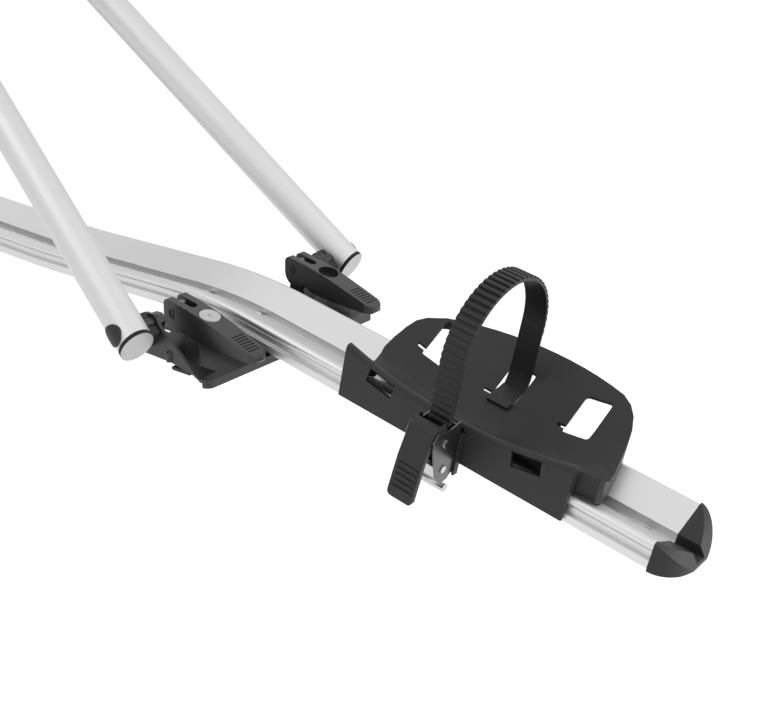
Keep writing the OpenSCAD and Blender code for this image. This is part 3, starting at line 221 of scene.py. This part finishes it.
crest_end = Vector((-68, 0, 59.1))
crest_centre = crest_end - CREST_R * up(0)
crest_start = crest_centre + CREST_R * up(FRONT_SLOPE)
front_end = crest_start - FRONT_LENGTH * rearward(FRONT_SLOPE)
level_end = crest_end + MIDDLE_LENGTH * rearward(0)
valley_centre = level_end + GENTLE_R * up(0)
rise_start = valley_centre - GENTLE_R * up(REAR_RISE)
rise_end = rise_start + MIDDLE_LENGTH * rearward(REAR_RISE)
hump_centre = rise_end - GENTLE_R * up(REAR_RISE)
rear_start = hump_centre + GENTLE_R * up(0)
rear_end = rear_start + REAR_LENGTH * rearward(0)
print("rail from x", round(front_end.x, 1), "to", round(rear_end.x, 1))

# %% Round the section's corners
SECTION_CREASE, SECTION_ROUND = math.radians(28), 0.45

rail = bmesh.new()
corners = [rail.verts.new((front_end + up(FRONT_SLOPE) * z + Vector((0, y, 0))) * MM)
           for y, z in section]
rail.faces.new(corners)
sharp = [v for v in corners
         if len(v.link_edges) == 2 and v.calc_edge_angle(0) > SECTION_CREASE]
bmesh.ops.bevel(rail, geom=sharp, offset=SECTION_ROUND * MM, offset_type="OFFSET", segments=2,
                profile=0.5, affect="VERTICES", material=-1)
bmesh.ops.delete(rail, geom=rail.faces[:], context="FACES_ONLY")
loop = rail.edges[:]
print("the rounded section has", len(loop), "edges")

# %% Pull the section along the path
CREST_STEPS, GENTLE_STEPS, RAIL_CREASE = 20, 8, 24


def pulled(edges, step):
    made = bmesh.ops.extrude_edge_only(rail, edges=edges)["geom"]
    moved = [g for g in made if isinstance(g, bmesh.types.BMVert)]
    bmesh.ops.translate(rail, verts=moved, vec=step * MM)
    return [g for g in made if isinstance(g, bmesh.types.BMEdge) and g.is_boundary]


def turned(edges, centre, angle, steps):
    made = bmesh.ops.spin(rail, geom=edges, cent=centre * MM, axis=(0, 1, 0), angle=angle,
                          steps=steps, use_duplicate=False)["geom_last"]
    return [g for g in made if isinstance(g, bmesh.types.BMEdge)]


loop = pulled(loop, FRONT_LENGTH * rearward(FRONT_SLOPE))
loop = turned(loop, crest_centre, -FRONT_SLOPE, CREST_STEPS)
loop = pulled(loop, MIDDLE_LENGTH * rearward(0))
loop = turned(loop, valley_centre, REAR_RISE, GENTLE_STEPS)
loop = pulled(loop, MIDDLE_LENGTH * rearward(REAR_RISE))
loop = turned(loop, hump_centre, -REAR_RISE, GENTLE_STEPS)
loop = pulled(loop, REAR_LENGTH * rearward(0))
bmesh.ops.holes_fill(rail, edges=[e for e in rail.edges if e.is_boundary], sides=0)
bmesh.ops.recalc_face_normals(rail, faces=rail.faces)
reached = min(v.co.x for v in rail.verts) / MM
print("the rail ends at x", round(reached, 1), "and should end at", round(rear_end.x, 1))
wheel_rail = finished("wheel_rail_extrusion", rail, "carrier",
                      ["wheel_rail"], RAIL_CREASE)

# %% [markdown]
# ## The ratchet straps
# A strap is a band of tough flexible plastic with ribs across its outer face, which the
# ratchet grips. Seen closely each rib is a low wave that rises quickly and falls away slowly,
# and it dies out just before the edges of the band. The band's cross section is a small loop
# with rounded corners. It is extruded from station to station along the strap, and the points
# on its outer face are raised where a rib is.

# %% The strap's line
# Up a straight leg beside the tray, over the wheel in a half circle, down the far side, and
# with a last short bend inwards to its anchor.
RIB_H, RIB_PITCH, RIB_START, RIBS_PAST_ARCH = 1.8, 7, 0.3, 14
BAND_R, LOOP_Y, LOOP_Z = 68.5 - RIB_H, -3, 78
LEG_BOTTOM, FAR_BOTTOM = -12, 30
END_R, END_TURN, END_STEPS, STEPS_BEFORE_END = 60, math.radians(22), 8, 3
LEG, FAR = LOOP_Z - LEG_BOTTOM, LOOP_Z - FAR_BOTTOM
ARCH, END = math.pi * BAND_R, END_R * END_TURN
RIBS = int((LEG + ARCH + RIBS_PAST_ARCH) / RIB_PITCH)


def strap_point(s, d):
    """The point at s along the strap and d outside the band's outer face."""
    if s < LEG:
        return Vector((0, LOOP_Y - BAND_R - d, LEG_BOTTOM + s))
    if s < LEG + ARCH:
        turn, out = math.pi - (s - LEG) / BAND_R, BAND_R + d
        return Vector((0, LOOP_Y + out * math.cos(turn), LOOP_Z + out * math.sin(turn)))
    if s < LEG + ARCH + FAR:
        return Vector((0, LOOP_Y + BAND_R + d, LOOP_Z - (s - LEG - ARCH)))
    turn, out = -(s - LEG - ARCH - FAR) / END_R, END_R + d
    middle = LOOP_Y + BAND_R - END_R
    return Vector((0, middle + out * math.cos(turn), FAR_BOTTOM + out * math.sin(turn)))


# Each rib as pairs of how far along its pitch and how high.
rib_wave = [(0, 0), (0.05, 0.62), (0.11, 0.93), (0.2, 1),
            (0.38, 0.93), (0.55, 0.78), (0.7, 0.45), (0.82, 0.06)]
stations = [(0, 0)]
stations += [((k + RIB_START + t) * RIB_PITCH, h) for k in range(RIBS) for t, h in rib_wave]
stations += [(LEG + ARCH + FAR + END * i / END_STEPS, 0)
             for i in range(-STEPS_BEFORE_END, END_STEPS + 1)]
print("a strap is", round(LEG + ARCH + FAR + END), "mm long and has", RIBS, "ribs")

# %% The band's cross section
# Each corner has its place across the band, its depth below the outer face, and the share of
# a rib's height by which it rises.
STRAP_W, STRAP_T, STRAP_CREASE = 24, 3, 50
W = STRAP_W / 2
band = [(-W, -2.5, 0), (-W, -0.75, 0.25), (-W + 0.35, -0.15, 0.7), (-W + 1.1, 0, 0.97),
        (-W + 2.5, 0, 1), (W - 2.5, 0, 1), (W - 1.1, 0, 0.97), (W - 0.35, -0.15, 0.7),
        (W, -0.75, 0.25), (W, -2.5, 0), (W - 0.5, -STRAP_T, 0), (-W + 0.5, -STRAP_T, 0)]
print("the band's cross section has", len(band), "corners")


# %% Extrude the band along its line
def strap_piece(name, place, body, nodes):
    bm = bmesh.new()

    def station(verts, s, height):
        for vert, (x, base, rise) in zip(verts, band):
            point = strap_point(s, base + rise * RIB_H * height) + Vector((x, 0, 0))
            vert.co = place @ (point * MM)

    def round_edges(verts, edge_of):
        return [edge_of((verts[i], verts[(i + 1) % len(verts)])) for i in range(len(verts))]

    ring = [bm.verts.new((0, 0, 0)) for _ in band]
    station(ring, *stations[0])
    edges = start_edges = round_edges(ring, bm.edges.new)
    for s, height in stations[1:]:
        grown = set(bmesh.ops.extrude_edge_only(bm, edges=edges)["geom"])
        ring = [next(e.other_vert(v) for e in v.link_edges if e.other_vert(v) in grown)
                for v in ring]
        edges = round_edges(ring, bm.edges.get)
        station(ring, s, height)
    bmesh.ops.holes_fill(bm, edges=start_edges + edges, sides=0)
    bmesh.ops.recalc_face_normals(bm, faces=bm.faces)
    return finished(name, bm, body, nodes, STRAP_CREASE)


# %% Put a strap on each tray
# The front tray lies on the rail's front slope, so its strap leans with it.
FRONT_TRAY_IN, REAR_TRAY_IN = 208, 190

front_place = Matrix.Translation(front_end * MM) @ Matrix.Rotation(FRONT_SLOPE, 4, "Y")
front_place = front_place @ Matrix.Translation(Vector((-FRONT_TRAY_IN, 0, 0)) * MM)
rear_place = Matrix.Translation((rear_end + Vector((REAR_TRAY_IN, 0, 0))) * MM)
straps = [
    strap_piece("front_strap_band", front_place, "tray_front", ["front_strap"]),
    strap_piece("rear_strap_band", rear_place, "tray_rear", ["rear_strap"]),
]

# %% [markdown]
# ## Moulded and pressed pieces
# The trays, levers, handles, caps, feet and knobs keep their CAD form and get rounded edges.
# The width of the radius follows how each piece is made: about a millimetre on a thick
# moulding, a few tenths on bent sheet steel.


# %% Soften the black mouldings
def all_softened(slot, *groups):
    return {node: softened(node, width) for width, nodes in groups for node in nodes}


plastic = all_softened(
    "black_plastic",
    (0.8, ("front_wheel_tray", "rear_wheel_tray")),
    (0.9, ("left_cam_lever", "right_cam_lever")),
    (0.7, ("front_buckle_handle", "rear_buckle_handle")),
    (0.6, ("front_end_cap", "rear_end_cap", "foot_saddle", "pivot_blocks", "clamp_head",
           "clamp_knob", "left_jaw", "right_jaw", "left_t_head", "right_t_head", "rear_foot",
           "rear_front_knob", "rear_back_knob", "front_strap_anchor", "rear_strap_anchor",
           "front_buckle_bracket", "rear_buckle_bracket", "pivot_bolt_caps")),
)

# %% Soften the steel, aluminium and rubber pieces
foot_plate = softened("front_foot_plate", 0.8)
bright = all_softened(
    "chromed_steel",
    (0.3, ("front_buckle_frame", "rear_buckle_frame")),
    (0.4, ("front_buckle_pins", "rear_buckle_pins", "front_release_lever",
           "rear_release_lever")),
)
disc_caps = softened("arm_end_caps", 0.6)
lock = softened("lever_lock", 0.4)
pads = ("front_bar_pads", "rear_foot_pad", "left_jaw_pad", "right_jaw_pad")
rubber = all_softened("pad_rubber", (0.8, pads))

# %% [markdown]
# ## The dark ring at the foot of each arm
# The lower end of each arm is sawn at a slight slant and closed by a disc, and a black seal
# hides the joint. The seal is a short sleeve round the tube whose two ends follow the slanted
# cut. It could be a long sleeve trimmed by two planes. Here each corner of a circle is slid
# along the arm until it meets the plane, which gives the same form with no leftovers.

# %% Where the arms are
# The arm's own +Z runs up the tube from the pivot bolt. The half turn about Z swaps the sides,
# so `side` is -1 for the left arm and 1 for the right one.
PIVOT, PIVOT_Y = Vector((12.4, 0, 53)), 156.7
ARM_LEAN, ARM_TOE = math.radians(40), math.radians(6.46)


def arm_place(side):
    foot = Matrix.Translation(Vector((0, side * PIVOT_Y, 0)) * MM)
    foot = foot @ Matrix.Rotation(-side * ARM_TOE, 4, "Z") @ Matrix.Rotation(math.pi / 2, 4, "Y")
    lean = Matrix.Rotation(math.pi, 4, "Z") @ Matrix.Rotation(-ARM_LEAN, 4, "Y")
    return Matrix.Translation(PIVOT * MM) @ lean @ foot


print("the arms lean", round(math.degrees(ARM_LEAN)), "degrees above level")

# %% The arms' seals
ARM_TAIL, END_SLANT = 16.5, math.radians(10)
SEAL_INNER, SEAL_OUTER, SEAL_CORNERS = 17.5, 18.05, 64
UNDER_TUBE, PAST_TUBE = -1.2, 2.7
outward = Vector((-math.sin(END_SLANT), 0, -math.cos(END_SLANT)))


def seal(name, side):
    bm = bmesh.new()

    def ring(radius, past_cut):
        made = bmesh.ops.create_circle(bm, segments=SEAL_CORNERS, radius=radius * MM,
                                       cap_ends=False)
        plane = (Vector((0, 0, -ARM_TAIL)) + outward * past_cut) * MM
        rim = made["verts"]
        for vert in rim:
            across = outward.x * vert.co.x + outward.y * vert.co.y
            vert.co.z = (outward.dot(plane) - across) / outward.z
        return [e for e in bm.edges if all(v in rim for v in e.verts)]

    rings = [ring(radius, past_cut) for radius, past_cut in
             ((SEAL_INNER, UNDER_TUBE), (SEAL_OUTER, UNDER_TUBE),
              (SEAL_OUTER, PAST_TUBE), (SEAL_INNER, PAST_TUBE))]
    for first, second in zip(rings, rings[1:] + rings[:1]):
        bmesh.ops.bridge_loops(bm, edges=first + second)
    bmesh.ops.recalc_face_normals(bm, faces=bm.faces)
    bmesh.ops.transform(bm, matrix=arm_place(side), verts=bm.verts)
    return finished(name, bm, "arms")


seals = [seal("left_arm_seal", -1), seal("right_arm_seal", 1)]

# %% [markdown]
# ## Effects that several materials share
# Three effects come back in many finishes: the fine grain of a spark-eroded mould, the drawn
# lines that a die leaves along an extrusion, and a slow mottle that keeps a big surface from
# looking computed. Two node groups with named inputs and outputs hold them, each with a
# mottle of its own size. All of them read Object coordinates, in metres, so the grain keeps
# its real scale on every piece.


# %% Building a node group
def effect(name, inputs, outputs):
    group = bpy.data.node_groups.new(name, "ShaderNodeTree")
    for label, kind, value in inputs:
        socket = group.interface.new_socket(label, in_out="INPUT", socket_type=kind)
        socket.default_value = value
    for label, kind in outputs:
        group.interface.new_socket(label, in_out="OUTPUT", socket_type=kind)
    return group, group.nodes.new("NodeGroupInput"), group.nodes.new("NodeGroupOutput")


def add(tree, kind, inputs=None, **settings):
    """A new shader node, with values or other nodes' outputs on its inputs."""
    node = tree.nodes.new("ShaderNode" + kind)
    for key, value in settings.items():
        setattr(node, key, value)
    for key, value in (inputs or {}).items():
        if isinstance(value, bpy.types.NodeSocket):
            tree.links.new(value, node.inputs[key])
        else:
            node.inputs[key].default_value = value
    return node


# %% The grain of a mould
grain, given, result = effect(
    "Mould grain",
    [("Fineness", "NodeSocketFloat", 1500), ("Depth", "NodeSocketFloat", 0.2)],
    [("Normal", "NodeSocketVector"), ("Mottle", "NodeSocketFloat")])
place = add(grain, "TexCoord").outputs["Object"]
pits = add(grain, "TexNoise", {"Vector": place, "Scale": given.outputs["Fineness"], "Detail": 3})
bumps = add(grain, "Bump", {"Strength": given.outputs["Depth"], "Distance": 0.0004,
                            "Height": pits.outputs["Fac"]})
slow = add(grain, "TexNoise", {"Vector": place, "Scale": 26, "Detail": 5, "Roughness": 0.6})
grain.links.new(bumps.outputs["Normal"], result.inputs["Normal"])
grain.links.new(slow.outputs["Fac"], result.inputs["Mottle"])
print("built", grain.name)

# %% The lines of a die
# The lines run along X. `Turn` first turns the pattern for a piece that lies otherwise.
LINE_STRETCH = (1.5, 620, 620)

lines, given, result = effect(
    "Die lines",
    [("Turn", "NodeSocketVector", (0, 0, 0)), ("Depth", "NodeSocketFloat", 0.1)],
    [("Normal", "NodeSocketVector"), ("Lines", "NodeSocketFloat"), ("Mottle", "NodeSocketFloat")])
place = add(lines, "TexCoord").outputs["Object"]
along_x = add(lines, "Mapping", {"Vector": place, "Rotation": given.outputs["Turn"]})
drawn = add(lines, "Mapping", {"Vector": along_x.outputs["Vector"], "Scale": LINE_STRETCH})
streaks = add(lines, "TexNoise", {"Vector": drawn.outputs["Vector"], "Scale": 1, "Detail": 3})
bumps = add(lines, "Bump", {"Strength": given.outputs["Depth"], "Distance": 0.0003,
                            "Height": streaks.outputs["Fac"]})
slow = add(lines, "TexNoise", {"Vector": place, "Scale": 3, "Detail": 1})
lines.links.new(bumps.outputs["Normal"], result.inputs["Normal"])
lines.links.new(streaks.outputs["Fac"], result.inputs["Lines"])
lines.links.new(slow.outputs["Fac"], result.inputs["Mottle"])
print("built", lines.name)

# %% [markdown]
# ## Finishes
# Each finish is a Principled BSDF. What is the same all over a surface stands on the shader's
# own sockets, and what changes over the surface comes from the effects. A colour mix turns a
# mottle into two neighbouring colours, and a map range turns it into a small spread of
# roughness.


# %% Helpers for finishes
def material(name, **sockets):
    made = bpy.data.materials.new(name)
    made.use_nodes = True
    shader = made.node_tree.nodes["Principled BSDF"]
    for key, value in sockets.items():
        shader.inputs[key.replace("_", " ")].default_value = value
    print("mixed", name)
    return made, made.node_tree, shader


def between(tree, factor, low, high):
    spread = add(tree, "MapRange", {"Value": factor, "From Min": 0.3, "From Max": 0.7,
                                    "To Min": low, "To Max": high})
    return spread.outputs["Result"]


# A Mix node has sockets for every kind of data. These are the ones for colours.
FIRST_COLOUR, SECOND_COLOUR, MIXED_COLOUR = 6, 7, 2


def blended(tree, factor, dark, light):
    mix = add(tree, "Mix", {"Factor": factor}, data_type="RGBA")
    mix.inputs[FIRST_COLOUR].default_value = (*dark, 1)
    mix.inputs[SECOND_COLOUR].default_value = (*light, 1)
    return mix.outputs[MIXED_COLOUR]


# %% Two kinds of finish
def finish(name, group, given, varied, dark, light, rough, **sockets):
    """A material whose roughness follows the group's output named by `varied`."""
    made, tree, shader = material(name, **sockets)
    skin = add(tree, "Group", node_tree=group)
    for key, value in given.items():
        skin.inputs[key].default_value = value
    tree.links.new(skin.outputs["Normal"], shader.inputs["Normal"])
    colour = blended(tree, skin.outputs["Mottle"], dark, light)
    tree.links.new(colour, shader.inputs["Base Color"])
    tree.links.new(between(tree, skin.outputs[varied], *rough), shader.inputs["Roughness"])
    return made


def moulding(name, dark, light, rough, fineness=1500, depth=0.2, **sockets):
    given = {"Fineness": fineness, "Depth": depth}
    return finish(name, grain, given, "Mottle", dark, light, rough, **sockets)


def drawn_metal(name, dark, light, rough, turn, depth):
    given = {"Turn": turn, "Depth": depth}
    return finish(name, lines, given, "Lines", dark, light, rough, Metallic=1.0)


# %% [markdown]
# ### Black plastic, rubber and powder coat
# None of the blacks is quite black. The trays are the lightest and dullest, the levers are
# smooth and glossier, the straps and the rubber are darker, and the powder coat has the fine
# orange peel of baked paint.

# %% Mix the blacks
tray_black = moulding("Grained black plastic", (0.023, 0.023, 0.024), (0.031, 0.031, 0.032),
                      (0.42, 0.52), Specular_IOR_Level=0.34)
lever_black = moulding("Smooth black plastic", (0.019, 0.019, 0.020), (0.025, 0.025, 0.026),
                       (0.28, 0.36), depth=0.10, Specular_IOR_Level=0.6)
strap_black = moulding("Strap plastic", (0.012, 0.012, 0.013), (0.018, 0.018, 0.019),
                       (0.40, 0.50), 900, 0.15, Specular_IOR_Level=0.34)
soft_black = moulding("Soft rubber", (0.012, 0.012, 0.012), (0.018, 0.018, 0.018),
                      (0.62, 0.75), 800, 0.3, Specular_IOR_Level=0.3)
powder_black = moulding("Black powder coat", (0.020, 0.020, 0.021), (0.026, 0.026, 0.027),
                        (0.30, 0.38), 520, 0.14, Specular_IOR_Level=0.55)
disc_grey = moulding("Light grey plastic", (0.60, 0.60, 0.60), (0.66, 0.66, 0.66),
                     (0.28, 0.36), 600, 0.05)

# %% [markdown]
# ### Aluminium and steel
# Anodised aluminium is matt because the anodic layer scatters light. Its lines run along the
# extrusion, so each arm's pattern is first turned until the arm lies along X. The discs at
# the arms' feet are stamped from sheet, so they have no such lines. Zinc plating is grey and
# soft, the buckles' stamped steel is dark, and bright plating is almost a mirror.

# %% Draw the aluminium
rail_metal = drawn_metal("Anodised rail", (0.66, 0.66, 0.665), (0.70, 0.70, 0.705),
                         (0.41, 0.46), (0, 0.1, 0), 0.03)


def arm_finish(name, side):
    x_along_arm = Matrix.Rotation(math.pi / 2, 3, "Y").inverted()
    turn = (arm_place(side).to_3x3() @ x_along_arm).inverted().to_euler()
    return drawn_metal(name, (0.66, 0.66, 0.665), (0.69, 0.69, 0.695), (0.50, 0.60),
                       tuple(turn), 0.04)


left_arm_metal = arm_finish("Anodised arm left", -1)
right_arm_metal = arm_finish("Anodised arm right", 1)

# %% Plate the steel
disc_metal = moulding("Stamped aluminium disc", (0.50, 0.50, 0.505), (0.54, 0.54, 0.545),
                      (0.44, 0.52), 700, 0.04, Metallic=1.0)
zinc = moulding("Zinc-plated steel", (0.42, 0.42, 0.43), (0.52, 0.52, 0.53),
                (0.30, 0.42), 900, 0.08, Metallic=1.0)
stamped = moulding("Stamped steel", (0.12, 0.12, 0.122), (0.17, 0.17, 0.172),
                   (0.30, 0.38), 300, 0.03, Metallic=1.0)
chrome = moulding("Bright plated steel", (0.50, 0.50, 0.51), (0.58, 0.58, 0.59),
                  (0.12, 0.2), 300, 0.02, Metallic=1.0)


# %% [markdown]
# ## Painting
# A new piece has no material yet and gets one. A CAD solid that keeps its own mesh has its
# slots already, and each of them is filled.


# %% Paint the new pieces
def paint(piece, coat):
    if piece.material_slots and piece.get("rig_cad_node"):
        for place in piece.material_slots:
            place.material = coat
    else:
        piece.data.materials.clear()
        piece.data.materials.append(coat)


glossy = ("left_cam_lever", "right_cam_lever", "clamp_knob")
dark_steel = ("front_buckle_frame", "rear_buckle_frame")
for node, piece in plastic.items():
    paint(piece, lever_black if node in glossy else tray_black)
for node, piece in bright.items():
    paint(piece, stamped if node in dark_steel else chrome)
for piece in straps:
    paint(piece, strap_black)
for piece in list(rubber.values()) + seals:
    paint(piece, soft_black)
paint(foot_plate, powder_black)
paint(lock, disc_grey)
paint(wheel_rail, rail_metal)
paint(disc_caps, disc_metal)
print("painted", len(plastic), "mouldings and", len(bright), "buckle pieces")

# %% Paint the CAD solids that keep their own mesh
own_finish = {"left_arm": left_arm_metal, "right_arm": right_arm_metal, "foot_bolts": rail_metal}
# The cam seats and the barrel pins are steel. Their black powder coat is painted shade for the
# shade between the gusset and the lever. The pivot bolts get the same black.
for name in ("cam_seats", "left_barrel_pin", "right_barrel_pin", "pivot_bolts"):
    own_finish[name] = powder_black
kept = [name for name, node in cad_nodes.items() if not node.hide_render]
for name in kept:
    paint(cad_nodes[name], own_finish.get(name, zinc))
print("CAD solids that keep their own mesh:", sorted(kept))

# %% [markdown]
# ## Floor and light
# The picture is a studio shot on white. The floor lies well below the carrier, as if it hung
# on its roof bars over a white table. It glows a little for the camera and for reflections,
# so that it comes out white and still keeps a soft shadow. The world is white for the camera,
# nearly white for reflections and dimmer for everything else. Three big softboxes then shape
# the carrier: one high up on its right towards the rear, one from the front left, and a low
# one beside that for the faces turned to the front.

# %% Lay the floor
FLOOR_REACH, FLOOR_Z, FLOOR_GLOW = 20, -0.42, 0.55

floor_mesh = bmesh.new()
bmesh.ops.create_grid(floor_mesh, x_segments=1, y_segments=1, size=FLOOR_REACH)
bmesh.ops.translate(floor_mesh, verts=floor_mesh.verts, vec=(0, 0, FLOOR_Z))
floor_data = bpy.data.meshes.new("Floor")
floor_mesh.to_mesh(floor_data)
floor_mesh.free()
floor = bpy.data.objects.new("Floor", floor_data)
collection.objects.link(floor)
print("the floor lies at z", FLOOR_Z, "m")


# %% Paint the floor
def larger(tree, first, second):
    return add(tree, "Math", {0: first, 1: second}, operation="MAXIMUM").outputs[0]


def times(tree, first, second):
    return add(tree, "Math", {0: first, 1: second}, operation="MULTIPLY").outputs[0]


floor_paint, tree, shader = material("Floor paint", Roughness=0.9)
shader.inputs["Base Color"].default_value = (0.8, 0.8, 0.8, 1)
shader.inputs["Emission Color"].default_value = (1, 1, 1, 1)
rays = add(tree, "LightPath").outputs
seen = larger(tree, rays["Is Camera Ray"], rays["Is Glossy Ray"])
seen = larger(tree, seen, rays["Is Transmission Ray"])
tree.links.new(times(tree, seen, FLOOR_GLOW), shader.inputs["Emission Strength"])
paint(floor, floor_paint)

# %% Light the world
# The world is a little brighter on the side that BRIGHT_SIDE points to.
BRIGHT_SIDE, DULL_SHARE = (0.42, 0.1, 0.9), 0.9
DIM, FULL = 0.6, 1.0

world = bpy.data.worlds.new("Studio")
scene.world = world
world.use_nodes = True
tree = world.node_tree
background = tree.nodes["Background"]
background.inputs["Color"].default_value = (1, 1, 1, 1)
rays = add(tree, "LightPath").outputs
mirrored = larger(tree, rays["Is Glossy Ray"], rays["Is Transmission Ray"])
peak = add(tree, "MapRange", {"Value": mirrored, "To Min": DIM, "To Max": FULL})
direction = add(tree, "TexCoord").outputs["Generated"]
tilt = add(tree, "VectorMath", {0: direction, 1: BRIGHT_SIDE}, operation="DOT_PRODUCT")
share = add(tree, "MapRange", {"Value": tilt.outputs["Value"], "From Min": -0.35,
                               "From Max": 0.75, "To Min": DULL_SHARE, "To Max": 1.0},
            interpolation_type="SMOOTHSTEP")
studio = times(tree, peak.outputs["Result"], share.outputs["Result"])
level = larger(tree, studio, rays["Is Camera Ray"])
tree.links.new(level, background.inputs["Strength"])
print("the world shines between", DIM * DULL_SHARE, "and", FULL)


# %% Hang the softboxes
def softbox(name, place, aim, size, power):
    lamp = bpy.data.lights.new(name, "AREA")
    lamp.shape = "RECTANGLE"
    lamp.size, lamp.size_y = size
    lamp.energy = power
    box = bpy.data.objects.new(name, lamp)
    box.location = place
    box.rotation_euler = (Vector(aim) - Vector(place)).to_track_quat("-Z", "Y").to_euler()
    collection.objects.link(box)
    print(name, "shines with", power, "W")


softbox("Key", (-0.6, -1.3, 2.2), (0.1, 0, 0), (1.6, 1.6), 7)
softbox("Fill", (1.9, 0.9, 1.4), (0.1, 0, 0), (1.4, 1.4), 8)
softbox("Front", (2.2, 1.3, 0.15), (0, 0, 0.03), (1.2, 0.8), 10)
